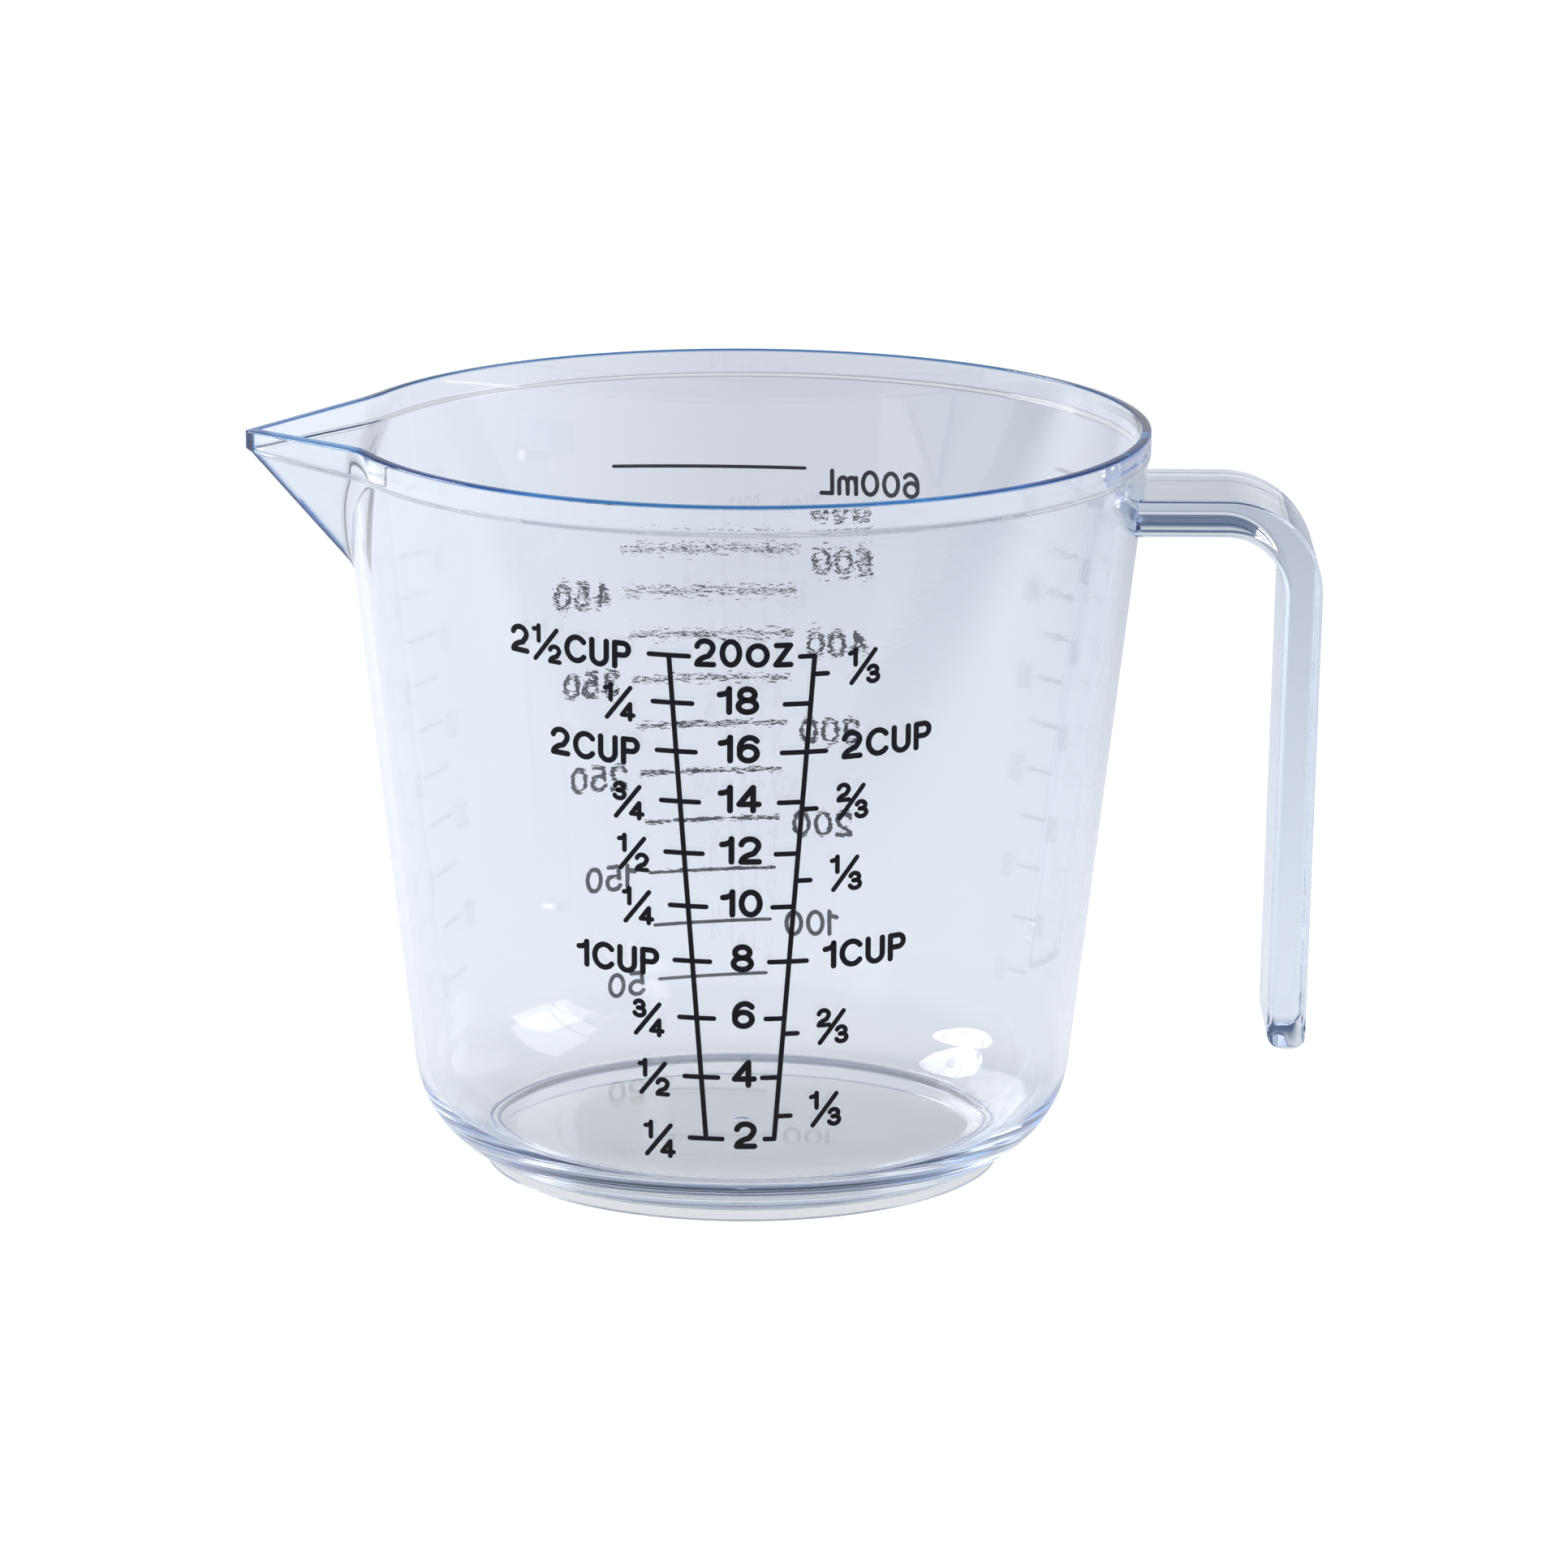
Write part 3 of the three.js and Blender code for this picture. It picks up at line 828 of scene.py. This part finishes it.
@dataclass
class InkSheet:
    """One island or group of ink: ribbons of artwork rolled onto the wall, in millimetres."""

    wall: CupWall
    facing: Facing
    axis_x: float
    lift: float = 0.05
    depth: float = 0.03
    body_rows: int = 30
    end_rows: int = 6
    cap_start: float = 0.06
    sharp_from: float = 30.0

    def ribbon(self, path: Array, width: float) -> Array:
        """Return the four edges of a round-ended ribbon along a path.

        Formula: the path is read at even lengths and carried on by half a width at both ends, where the
        half width follows a semicircle. The edges lie that far to each side, over and under the wall's face.

        Args:
            path: Places along the middle of the stroke.
            width: Width of the stroke.

        Returns:
            Places of shape (rows, 4, 3).
        """
        half = width / 2
        steps = np.concatenate([[0], np.cumsum(np.linalg.norm(np.diff(path, axis=0), axis=1))])
        cap = half * np.cos(np.linspace(self.cap_start, np.pi / 2, self.end_rows))
        at = np.concatenate([-cap, np.linspace(0, steps[-1], self.body_rows)[1:-1], steps[-1] + cap[::-1]])
        inside = np.clip(at, 0, steps[-1])
        middle = np.stack([np.interp(inside, steps, path[:, 0]), np.interp(inside, steps, path[:, 1])], axis=-1)
        start = (path[1] - path[0]) / np.linalg.norm(path[1] - path[0])
        end = (path[-1] - path[-2]) / np.linalg.norm(path[-1] - path[-2])
        over = at - inside
        middle += np.minimum(over, 0)[:, None] * start + np.maximum(over, 0)[:, None] * end
        along = np.gradient(middle, axis=0)
        along /= np.linalg.norm(along, axis=1, keepdims=True)
        across = np.stack([-along[:, 1], along[:, 0]], axis=-1) * np.sqrt(half**2 - over**2)[:, None]
        left, right = middle + across, middle - across
        high, low = np.full((len(at), 1), self.lift), np.full((len(at), 1), -self.depth)
        edges = [np.hstack([left, high]), np.hstack([right, high]), np.hstack([right, low]), np.hstack([left, low])]
        return np.stack(edges, axis=1)

    def build(self, name: str, strokes: Strokes) -> bpy.types.Object:
        """Make one piece of ink from its strokes.

        Args:
            name: Name of the piece.
            strokes: Pairs of path and width, in the flat artwork.

        Returns:
            The piece.
        """
        ribbons = np.stack([self.ribbon(path, width) for path, width in strokes])
        count, rows = ribbons.shape[:2]
        starts = (np.arange(count) * rows * 4)[:, None, None]
        sides = (starts + grid_faces(rows, 4, closed=True)[None]).reshape(-1, 4)
        first = (starts + np.array([[3, 2, 1, 0]])[None]).reshape(-1, 4)
        last = (starts + (rows - 1) * 4 + np.array([[0, 1, 2, 3]])[None]).reshape(-1, 4)
        places = self.wall.rolled(ribbons.reshape(-1, 3), self.facing)
        piece = new_piece(name, places, [sides, first, last], self.axis_x)
        piece.data.set_sharp_from_angle(angle=np.radians(self.sharp_from))
        return piece


def dress_ink(piece: bpy.types.Object, finish: "Ink", *nodes: str) -> None:
    """Give a piece of ink its finish, and let it stand for CAD nodes.

    Args:
        piece: The ink.
        finish: Its finish.
        nodes: CAD nodes that it stands for.
    """
    piece.data.materials.append(finish.material())
    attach(piece, BODY)
    if nodes:
        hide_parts(*nodes)


@dataclass
class FrontScale:
    """Cup and ounce scale: two leaning ladders with numerals between and labels beside them."""

    wall: CupWall
    axis_x: float
    letters: Lettering = Lettering()
    numerals: Lettering = Lettering(stroke=0.82, wide=1.14)
    line_width: float = 0.68
    unit_shift: float = 0.85
    tick: float = 2.8
    tick_foot: float = 2.45
    tick_growth: float = 0.007
    inward_foot: float = 2.15
    inward_growth: float = 0.0214
    inward_ends: tuple[float, float] = (1.6, 2.3)
    third_tick: float = 2.3
    column: float = 0.75
    lean: float = 0.074
    print_drop: float = 0.2
    print_shrink: float = 0.0205
    third_rise: float = -0.2
    third_growth: float = 0.026
    quarter_gap: float = 7.5
    quarter_lean: float = 0.0884
    quarter_drop: float = 0.55
    third_gap: float = 8.0
    third_lean: float = 0.0774
    third_lift: float = 0.7
    numeral_shift: float = 1.0
    numeral_lean: float = 0.019
    label_lift: float = 0.6
    ml_per_ounce: float = 29.5735
    ounces_per_cup: int = 8
    ounce_step: int = 2
    top_ounce: int = 20
    quarter_labels: tuple[str, ...] = ("¼", "½", "¾", "1CUP", "¼", "½", "¾", "2CUP", "¼", "2½CUP")
    third_labels: tuple[tuple[int, str], ...] = (
        (1, "⅓"), (2, "⅔"), (3, "1CUP"), (4, "⅓"), (5, "⅔"), (6, "2CUP"), (7, "⅓")
    )

    def up(self, millilitres: Array) -> Array:
        """Return how far up the slant the marks for volumes are printed."""
        fill = self.wall.fill_height(millilitres)
        return (fill - self.print_drop - self.print_shrink * fill) / np.cos(self.wall.slant)

    def rail(self, y: Array) -> Array:
        """Return how far a ladder's line stands from the middle at a height up the slant."""
        return self.column + self.tick + self.lean * y

    def ticks(self, y: Array, side: int, left: Array | float, right: Array | float) -> Strokes:
        """Return tick marks across a ladder's line.

        Args:
            y: Heights up the slant.
            side: -1 for the left ladder, 1 for the right one.
            left: Reach to the left of the line.
            right: Reach to its right.

        Returns:
            Pairs of stroke and width.
        """
        end = self.line_width / 2
        at = side * self.rail(y)
        starts, ends = at - np.maximum(left - end, 0), at + np.maximum(right - end, 0)
        return [(line((x, v), (to, v)), self.line_width) for x, to, v in zip(starts, ends, y)]

    def build(self) -> InkPieces:
        """Make the ladders and their labels.

        Returns:
            Pieces by name, each with the CAD nodes that it stands for.
        """
        sheet = InkSheet(self.wall, Facing.FRONT, self.axis_x)
        ounces = np.arange(self.ounce_step, self.top_ounce + 1, self.ounce_step)
        y = self.up(ounces * self.ml_per_ounce)
        thirds = np.array([n for n, _ in self.third_labels])
        third_y = self.up(thirds * self.ounces_per_cup * self.ml_per_ounce / 3)
        third_y += np.where(thirds % 3, self.third_rise + self.third_growth * third_y, 0)
        whole = ounces % self.ounces_per_cup == 0
        foot, top = (self.rail(y[0]), y[0]), (self.rail(y[-1]), y[-1])
        rails = [(line(foot, top) * (side, 1), self.line_width) for side in (-1, 1)]
        half = self.tick_foot + self.tick_growth * y
        inward = self.inward_foot + self.inward_growth * y
        inward[[0, -1]] = self.inward_ends
        quarter = [rails[0], *self.ticks(y, -1, half, half)]
        ounce = [
            rails[1],
            *self.ticks(y[~whole], 1, inward[~whole], 0),
            *self.ticks(y[whole], 1, inward[whole], half[whole]),
            *self.ticks(third_y[thirds % 3 != 0], 1, 0, self.third_tick),
        ]
        quarter_text, third_text, ounce_text = [], [], []
        for text, v in zip(self.quarter_labels, y):
            x = -(self.quarter_gap + self.quarter_lean * v)
            quarter_text += self.letters.label(text, x, v - self.quarter_drop, Align.RIGHT)
        for (n, text), v in zip(self.third_labels, third_y):
            lift = self.third_lift if n % 3 else self.label_lift
            third_text += self.letters.label(text, self.third_gap + self.third_lean * v, v + lift, Align.LEFT)
        for n, v in zip(ounces, y):
            top_mark = n == self.top_ounce
            style, unit, shift = (self.letters, "oz", self.unit_shift) if top_mark else (self.numerals, "", 0)
            x = self.numeral_shift - self.numeral_lean * v + shift
            ounce_text += style.label(f"{n}{unit}", x, v + self.label_lift, Align.MIDDLE)
        inks = {
            "quarter_cup_ladder_ink": (quarter, ("quarter_cup_ladder",)),
            "ounce_ladder_ink": (ounce, ("ounce_ladder",)),
            "quarter_cup_labels": (quarter_text, ()),
            "third_cup_labels": (third_text, ()),
            "ounce_numerals": (ounce_text, ()),
        }
        return {name: (sheet.build(name, strokes), nodes) for name, (strokes, nodes) in inks.items()}


@dataclass
class MetricScale:
    """Millilitre scale on the back: one bar for each level and its label at one end."""

    wall: CupWall
    axis_x: float
    letters: Lettering = Lettering(height=3.9, stroke=0.64)
    line_width: float = 0.5
    half_length: float = 7.2
    lean: float = 0.083
    label_gap: float = 1.9
    hundreds_drop: float = 0.3
    hundreds_lean: float = 0.018
    fifties_drop: float = 0.4
    print_rise: float = -0.65
    print_growth: float = 0.0175
    tilt_foot: float = -0.049
    tilt_growth: float = 0.00083
    hundred: int = 100
    levels: tuple[int, ...] = (50, 100, 150, 200, 250, 300, 350, 400, 450, 500, 600)

    def build(self) -> InkPieces:
        """Make the bars and their labels.

        Returns:
            Pieces by name, each with the CAD nodes that it stands for.
        """
        sheet = InkSheet(self.wall, Facing.BACK, self.axis_x)
        fill = self.wall.fill_height(np.array(self.levels, dtype=float))
        y = (fill + self.print_rise + self.print_growth * fill) / np.cos(self.wall.slant)
        half = self.half_length + self.lean * y
        tilt = self.tilt_foot + self.tilt_growth * y
        made = {}
        text = []
        for level, v, reach, slope in zip(self.levels, y, half, tilt):
            end = reach - self.line_width / 2
            bar = [(line((-end, v - slope * end), (end, v + slope * end)), self.line_width)]
            name = f"metric_bar_{level}_ink"
            made[name] = (sheet.build(name, bar), (f"metric_bar_{level}",))
            words = f"{level}mL" if level == self.levels[-1] else f"{level}"
            left = level % self.hundred == 0
            at = (-1 if left else 1) * (reach + self.label_gap)
            drop = self.hundreds_drop + self.hundreds_lean * v if left else self.fifties_drop
            label = self.letters.label(words, at, v - drop, Align.RIGHT if left else Align.LEFT)
            text += [(path + slope * np.outer(path[:, 0], (0, 1)), width) for path, width in label]
        made["metric_labels"] = (sheet.build("metric_labels", text), ())
        return made


# Finishes


def add_node(tree: Tree, kind: str, inputs: dict[str, object] | None = None, **settings: object) -> bpy.types.Node:
    """Add a node with its settings and the values of its inputs.

    Args:
        tree: The nodes to add to.
        kind: Type of the node, as it stands after "ShaderNode".
        inputs: Values by the inputs' names.
        settings: The node's own settings.

    Returns:
        The node.
    """
    node = tree.nodes.new(f"ShaderNode{kind}")
    for name, value in settings.items():
        setattr(node, name, value)
    for name, value in (inputs or {}).items():
        node.inputs[name].default_value = value
    return node


def wire(tree: Tree, *pairs: tuple[Socket, Socket]) -> None:
    """Join outputs to inputs, pair by pair."""
    for source, target in pairs:
        tree.links.new(source, target)


def blend(tree: Tree, factor: Socket, first: Colour | Socket, second: Colour | Socket) -> Socket:
    """Mix two colours by a value.

    Args:
        tree: The nodes to add to.
        factor: The value: 0 gives the first colour and 1 the second.
        first: A colour, or the socket that holds one.
        second: The other colour.

    Returns:
        The socket that holds the mixed colour.
    """
    node = add_node(tree, "Mix", data_type="RGBA")
    wire(tree, (factor, node.inputs["Factor"]))
    for name, colour in (("A", first), ("B", second)):
        if isinstance(colour, tuple):
            node.inputs[name].default_value = (*colour, 1)
        else:
            wire(tree, (colour, node.inputs[name]))
    return node.outputs["Result"]


def share_between(tree: Tree, value: Socket, start: float, end: float, smooth: bool = False) -> Socket:
    """Work out how far a value has come from one mark to another, held between 0 and 1.

    Args:
        tree: The nodes to add to.
        value: The value.
        start: Mark that gives 0.
        end: Mark that gives 1.
        smooth: True if the share leaves 0 and reaches 1 level.

    Returns:
        The socket that holds the share.
    """
    kind = "SMOOTHSTEP" if smooth else "LINEAR"
    node = add_node(tree, "MapRange", {"From Min": start, "From Max": end}, interpolation_type=kind)
    wire(tree, (value, node.inputs["Value"]))
    return node.outputs["Result"]


def product(tree: Tree, a: Socket, b: Socket) -> Socket:
    """Return the socket that holds two values' product."""
    node = add_node(tree, "Math", operation="MULTIPLY")
    wire(tree, (a, node.inputs[0]), (b, node.inputs[1]))
    return node.outputs["Value"]


def object_place(tree: Tree) -> bpy.types.NodeOutputs:
    """Return the outputs X, Y and Z of a place in Object coordinates."""
    split = add_node(tree, "SeparateXYZ")
    wire(tree, (add_node(tree, "TexCoord").outputs["Object"], split.inputs["Vector"]))
    return split.outputs


def mottle_group() -> Tree:
    """Give the shared effect of a slow, uneven mottle over a surface, built once.

    Returns:
        A group that turns Object coordinates into a value between Low and High.
    """
    name = "soft_mottle"
    if name in bpy.data.node_groups:
        return bpy.data.node_groups[name]
    group = bpy.data.node_groups.new(name, "ShaderNodeTree")
    group.interface.new_socket("Scale", in_out="INPUT", socket_type="NodeSocketVector")
    for label, default in (("Detail", 3.0), ("Low", 0.0), ("High", 1.0)):
        socket = group.interface.new_socket(label, in_out="INPUT", socket_type="NodeSocketFloat")
        socket.default_value = default
    group.interface.new_socket("Value", in_out="OUTPUT", socket_type="NodeSocketFloat")
    given = group.nodes.new("NodeGroupInput").outputs
    result = group.nodes.new("NodeGroupOutput")
    places = add_node(group, "TexCoord")
    scaled = add_node(group, "VectorMath", operation="MULTIPLY")
    noise = add_node(group, "TexNoise", {"Scale": 1.0})
    spread = add_node(group, "MapRange", {"From Min": NOISE_SPAN[0], "From Max": NOISE_SPAN[1]})
    wire(
        group,
        (places.outputs["Object"], scaled.inputs[0]),
        (given["Scale"], scaled.inputs[1]),
        (scaled.outputs["Vector"], noise.inputs["Vector"]),
        (given["Detail"], noise.inputs["Detail"]),
        (noise.outputs["Fac"], spread.inputs["Value"]),
        (given["Low"], spread.inputs["To Min"]),
        (given["High"], spread.inputs["To Max"]),
        (spread.outputs["Result"], result.inputs["Value"]),
    )
    return group


def mottle(tree: Tree, scale: Triple | float, low: float, high: float, detail: float = 3.0) -> Socket:
    """Place the shared mottle in a material.

    Args:
        tree: The material's nodes.
        scale: Number of blotches in a metre, the same along each axis or one for each.
        low: Value in the valleys.
        high: Value on the peaks.
        detail: How many finer layers are added.

    Returns:
        The socket that holds the value.
    """
    counts = scale if isinstance(scale, tuple) else (scale, scale, scale)
    node = add_node(tree, "Group", node_tree=mottle_group())
    for name, value in (("Scale", counts), ("Detail", detail), ("Low", low), ("High", high)):
        node.inputs[name].default_value = value
    return node.outputs["Value"]


def fresh_material(name: str) -> tuple[bpy.types.Material, bpy.types.Node, bpy.types.Node]:
    """Make a material with Blender's first nodes.

    Args:
        name: Its name.

    Returns:
        The material, its Principled shader and its output.
    """
    material = bpy.data.materials.new(name)
    material.use_nodes = True
    nodes = material.node_tree.nodes
    return material, nodes["Principled BSDF"], nodes["Material Output"]


@dataclass(frozen=True)
class ClearPlastic:
    """Clear, faintly blue styrene with painted blue shade on its edges, a slight haze and a fine ripple over the
    front.
    """

    tint: Colour = (0.965, 0.972, 0.985)
    # Painted shade: dark blue on the lip, the spout's tip and its keel, for the light piped along the clear edges.
    painted_edge_shade: Colour = (0.003, 0.07, 0.36)
    index: float = 1.57
    haze: tuple[float, float] = (0.0, 0.02)
    haze_scale: float = 90.0
    depth_colour: Colour = (0.33, 0.53, 0.89)
    depth_density: float = 5.5
    shade: Colour = (0.985, 0.988, 0.992)
    ripple_low: float = 0.045
    ripple_high: float = 0.1
    ripple_side: float = -0.025
    ripple_front: float = -0.04
    ripple_scale: Triple = (650.0, 650.0, 1500.0)
    ripple_detail: float = 2.0
    ripple_depth: float = 4.3e-6

    def material(self) -> bpy.types.Material:
        """Make the plastic: a clear body, blue in its depth, with painted blue shade on its edges, that lets lamp
        light through.

        Returns:
            The material.
        """
        material, shader, output = fresh_material("clear_plastic")
        tree = material.node_tree
        shader.inputs["Transmission Weight"].default_value = 1.0
        shader.inputs["IOR"].default_value = self.index
        edge = add_node(tree, "Attribute", attribute_name=PAINTED_EDGE_MASK)
        bump = add_node(tree, "Bump", {"Strength": 1.0, "Distance": self.ripple_depth})
        through = add_node(tree, "BsdfTransparent", {"Color": (*self.shade, 1)})
        path = add_node(tree, "LightPath")
        mix = add_node(tree, "MixShader")
        inside = add_node(tree, "VolumeAbsorption", {"Color": (*self.depth_colour, 1), "Density": self.depth_density})
        wire(
            tree,
            # Base colour: the plastic's tint, with the painted blue edge shade over the lip, the spout's tip and its
            # keel.
            (blend(tree, edge.outputs["Fac"], self.tint, self.painted_edge_shade), shader.inputs["Base Color"]),
            (mottle(tree, self.haze_scale, *self.haze), shader.inputs["Roughness"]),
            (self.ripple(tree), bump.inputs["Height"]),
            (bump.outputs["Normal"], shader.inputs["Normal"]),
            (path.outputs["Is Shadow Ray"], mix.inputs["Fac"]),
            (shader.outputs["BSDF"], mix.inputs[1]),
            (through.outputs["BSDF"], mix.inputs[2]),
            (mix.outputs["Shader"], output.inputs["Surface"]),
            (inside.outputs["Volume"], output.inputs["Volume"]),
        )
        return material

    def ripple(self, tree: Tree) -> Socket:
        """Work out the height of the fine ripple on the printed front, which fades out down the cup.

        Args:
            tree: The material's nodes.

        Returns:
            The socket that holds it.
        """
        place = object_place(tree)
        up = share_between(tree, place["Z"], self.ripple_low, self.ripple_high)
        front = share_between(tree, place["Y"], self.ripple_side, self.ripple_front)
        waves = mottle(tree, self.ripple_scale, 0.0, 1.0, self.ripple_detail)
        return product(tree, product(tree, up, front), waves)


@dataclass(frozen=True)
class Ink:
    """Screen-printed ink, a little uneven in density and sheen."""

    slot: Slot
    thick: Colour
    thin: Colour
    density_scale: float = 900.0
    sheen_scale: float = 600.0
    roughness: tuple[float, float] = (0.42, 0.58)
    gloss: float = 0.2

    def material(self) -> bpy.types.Material:
        """Make the ink, once for all its pieces.

        Returns:
            The material.
        """
        name = f"{self.slot.value}_print"
        if name in bpy.data.materials:
            return bpy.data.materials[name]
        material, shader, _ = fresh_material(name)
        tree = material.node_tree
        shader.inputs["Specular IOR Level"].default_value = self.gloss
        density = mottle(tree, self.density_scale, 0.0, 1.0)
        wire(
            tree,
            (blend(tree, density, self.thick, self.thin), shader.inputs["Base Color"]),
            (mottle(tree, self.sheen_scale, *self.roughness), shader.inputs["Roughness"]),
        )
        return material


@dataclass(frozen=True)
class PaleFloor:
    """Pale sweep that the cup stands on, lifted to white where it is seen, less so through the cup, with painted
    shade darkening it behind the cup.
    """

    near: Colour = (0.92, 0.92, 0.90)
    # Painted shade: darker stops behind the cup for the lamp light that falls off away from it, greyer from left to
    # right.
    far: tuple[tuple[float, Colour], ...] = (
        (0.0, (0.86, 0.87, 0.86)),
        (0.45, (0.59, 0.59, 0.59)),
        (0.76, (0.60, 0.61, 0.62)),
        (1.0, (0.45, 0.46, 0.48)),
    )
    left_end: float = -0.09
    right_end: float = 0.09
    far_from: float = 0.05
    far_to: float = 0.45
    roughness: float = 0.9
    lift_colour: Colour = (0.78, 0.8, 0.83)
    through: float = 0.25

    def material(self) -> bpy.types.Material:
        """Make the floor's colour: pale near the camera, and darker behind the cup as painted shade for the lamp
        light that falls off away from it, greyer from left to right there.

        Returns:
            The material.
        """
        material, shader, _ = fresh_material("pale_floor")
        tree = material.node_tree
        shader.inputs["Roughness"].default_value = self.roughness
        shader.inputs["Specular IOR Level"].default_value = 0.0
        shader.inputs["Emission Color"].default_value = (*self.lift_colour, 1)
        far = add_node(tree, "ValToRGB")
        stops = far.color_ramp.elements
        for at, _ in self.far[1:-1]:
            stops.new(at)
        for stop, (at, colour) in zip(stops, self.far):
            stop.position, stop.color = at, (*colour, 1)
        place = object_place(tree)
        depth = share_between(tree, place["Y"], self.far_from, self.far_to)
        wire(
            tree,
            (share_between(tree, place["X"], self.left_end, self.right_end), far.inputs["Fac"]),
            # Painted shade: the floor darkens from its near colour to the far ramp behind the cup.
            (blend(tree, depth, self.near, far.outputs["Color"]), shader.inputs["Base Color"]),
            (seen_share(tree, self.through), shader.inputs["Emission Strength"]),
        )
        return material


def seen_share(tree: Tree, through: float) -> Socket:
    """Give 1 for rays from the camera, a share for rays by mirror or through the cup, and 0 for the rest.

    Args:
        tree: The nodes to add to.
        through: The share.

    Returns:
        The socket that holds it.
    """
    path = add_node(tree, "LightPath").outputs
    bent = add_node(tree, "Math", operation="MAXIMUM")
    scaled = add_node(tree, "Math", operation="MULTIPLY_ADD")
    scaled.inputs[1].default_value = through
    wire(
        tree,
        (path["Is Glossy Ray"], bent.inputs[0]),
        (path["Is Transmission Ray"], bent.inputs[1]),
        (bent.outputs["Value"], scaled.inputs[0]),
        (path["Is Camera Ray"], scaled.inputs[2]),
    )
    return scaled.outputs["Value"]


# Studio


@dataclass(frozen=True)
class AreaLamp:
    """A soft lamp that looks at a place."""

    name: str
    place: Triple
    aim: Triple
    size: tuple[float, float]
    shape: LampShape
    watts: float

    def build(self) -> bpy.types.Object:
        """Make the lamp and link it to the scene.

        Returns:
            The lamp.
        """
        data = bpy.data.lights.new(self.name, "AREA")
        data.shape = self.shape.value
        data.size, data.size_y = self.size
        data.energy = self.watts
        lamp = bpy.data.objects.new(self.name, data)
        towards = Matrix.Translation(self.aim).translation - Matrix.Translation(self.place).translation
        lamp.rotation_euler = towards.to_track_quat("-Z", "Y").to_euler()
        lamp.location = self.place
        bpy.context.scene.collection.objects.link(lamp)
        return lamp


@dataclass
class Studio:
    """Pale floor, soft lamps and a white surround."""

    floor_half: float = 4.0
    floor_gap: float = 0.00015
    horizon: Colour = (0.71, 0.74, 0.77)
    ceiling: Colour = (0.025, 0.068, 0.165)
    horizon_top: float = 0.14
    ceiling_from: float = 0.38
    through: float = 0.05
    lamps: tuple[AreaLamp, ...] = (
        AreaLamp("left_lamp", (-1.55, 0.62, 1.1), (0.0, 0.0, 0.0), (0.75, 0.95), LampShape.ROUND, 38.0),
        AreaLamp("right_lamp", (1.74, -0.14, 0.97), (0.0, 0.0, 0.0), (1.0, 1.1), LampShape.WINDOW, 12.0),
    )

    def build_floor(self) -> bpy.types.Object:
        """Make the floor: a level square just under the foot.

        Returns:
            The floor.
        """
        half, low = self.floor_half / MM, -self.floor_gap / MM
        corners = np.array([[-half, -half, low], [half, -half, low], [half, half, low], [-half, half, low]])
        floor = new_piece("floor", corners, [np.array([[0, 1, 2, 3]])], 0.0)
        floor.data.materials.append(PaleFloor().material())
        return floor

    def build_world(self) -> None:
        """Set a soft surround, pale at the horizon and dim overhead, that shows as plain white."""
        world = bpy.data.worlds.new("surround")
        world.use_nodes = True
        tree = world.node_tree
        split = add_node(tree, "SeparateXYZ")
        wire(tree, (add_node(tree, "TexCoord").outputs["Generated"], split.inputs["Vector"]))
        rise = share_between(tree, split.outputs["Z"], self.horizon_top, self.ceiling_from, smooth=True)
        tone = blend(tree, rise, self.horizon, self.ceiling)
        shown = blend(tree, seen_share(tree, self.through), tone, (1.0, 1.0, 1.0))
        wire(tree, (shown, tree.nodes["Background"].inputs["Color"]))
        bpy.context.scene.world = world

    def build(self) -> None:
        """Set up the floor, the surround and the lamps."""
        self.build_floor()
        self.build_world()
        for lamp in self.lamps:
            lamp.build()


@dataclass(frozen=True)
class PhotoCamera:
    """Camera that stands where the photograph was taken from, in millimetres about the cup's axis."""

    side: float = 5.735
    distance: float = 1183.6
    aim_height: float = 53.32
    elevation: float = 13.749
    roll: float = 0.307
    focal_pixels: float = 10372.0
    frame_pixels: float = 1932.0
    sensor: float = 36.0
    clip: tuple[float, float] = (0.01, 50.0)

    def build(self, axis_x: float) -> bpy.types.Object:
        """Return the camera, made the scene's own.

        Args:
            axis_x: Row-frame x of the cup's axis, in metres.

        Returns:
            The camera object.
        """
        data = bpy.data.cameras.new("photo_camera")
        data.sensor_fit = "HORIZONTAL"
        data.sensor_width = self.sensor
        data.lens = self.focal_pixels / self.frame_pixels * self.sensor
        data.clip_start, data.clip_end = self.clip
        camera = bpy.data.objects.new("photo_camera", data)
        tilt = np.radians(self.elevation)
        back, rise = self.distance * np.cos(tilt), self.aim_height + self.distance * np.sin(tilt)
        turn = Matrix.Rotation(np.pi / 2 - tilt, 4, "X") @ Matrix.Rotation(np.radians(self.roll), 4, "Z")
        camera.matrix_world = Matrix.Translation((self.side * MM + axis_x, -back * MM, rise * MM)) @ turn
        bpy.context.scene.collection.objects.link(camera)
        bpy.context.scene.camera = camera
        return camera


BLACK_INK = Ink(Slot.BLACK, (0.003, 0.003, 0.004), (0.008, 0.008, 0.01))
NAVY_INK = Ink(Slot.NAVY, (0.02, 0.03, 0.06), (0.04, 0.055, 0.1))


def main() -> None:
    """Build the cup, its print, the studio and the camera."""
    axis_x = cup_axis_x()
    wall = CupWall()
    PhotoCamera().build(axis_x)
    Studio().build()
    moulding = ClearMoulding(wall, axis_x)
    clear = moulding.build()
    moulding.dress(clear, ClearPlastic())
    LOG.info("%s: %d faces", clear.name, len(clear.data.polygons))
    for scale, finish in ((FrontScale(wall, axis_x), BLACK_INK), (MetricScale(wall, axis_x), NAVY_INK)):
        for name, (piece, nodes) in scale.build().items():
            dress_ink(piece, finish, *nodes)
            LOG.info("%s: %d faces", name, len(piece.data.polygons))
    scene = bpy.context.scene
    scene.view_settings.view_transform = "Standard"
    scene.cycles.max_bounces = scene.cycles.transmission_bounces = scene.cycles.glossy_bounces = LIGHT_BOUNCES
    scene.cycles.caustics_refractive = scene.cycles.caustics_reflective = False


if __name__ == "__main__":
    main()
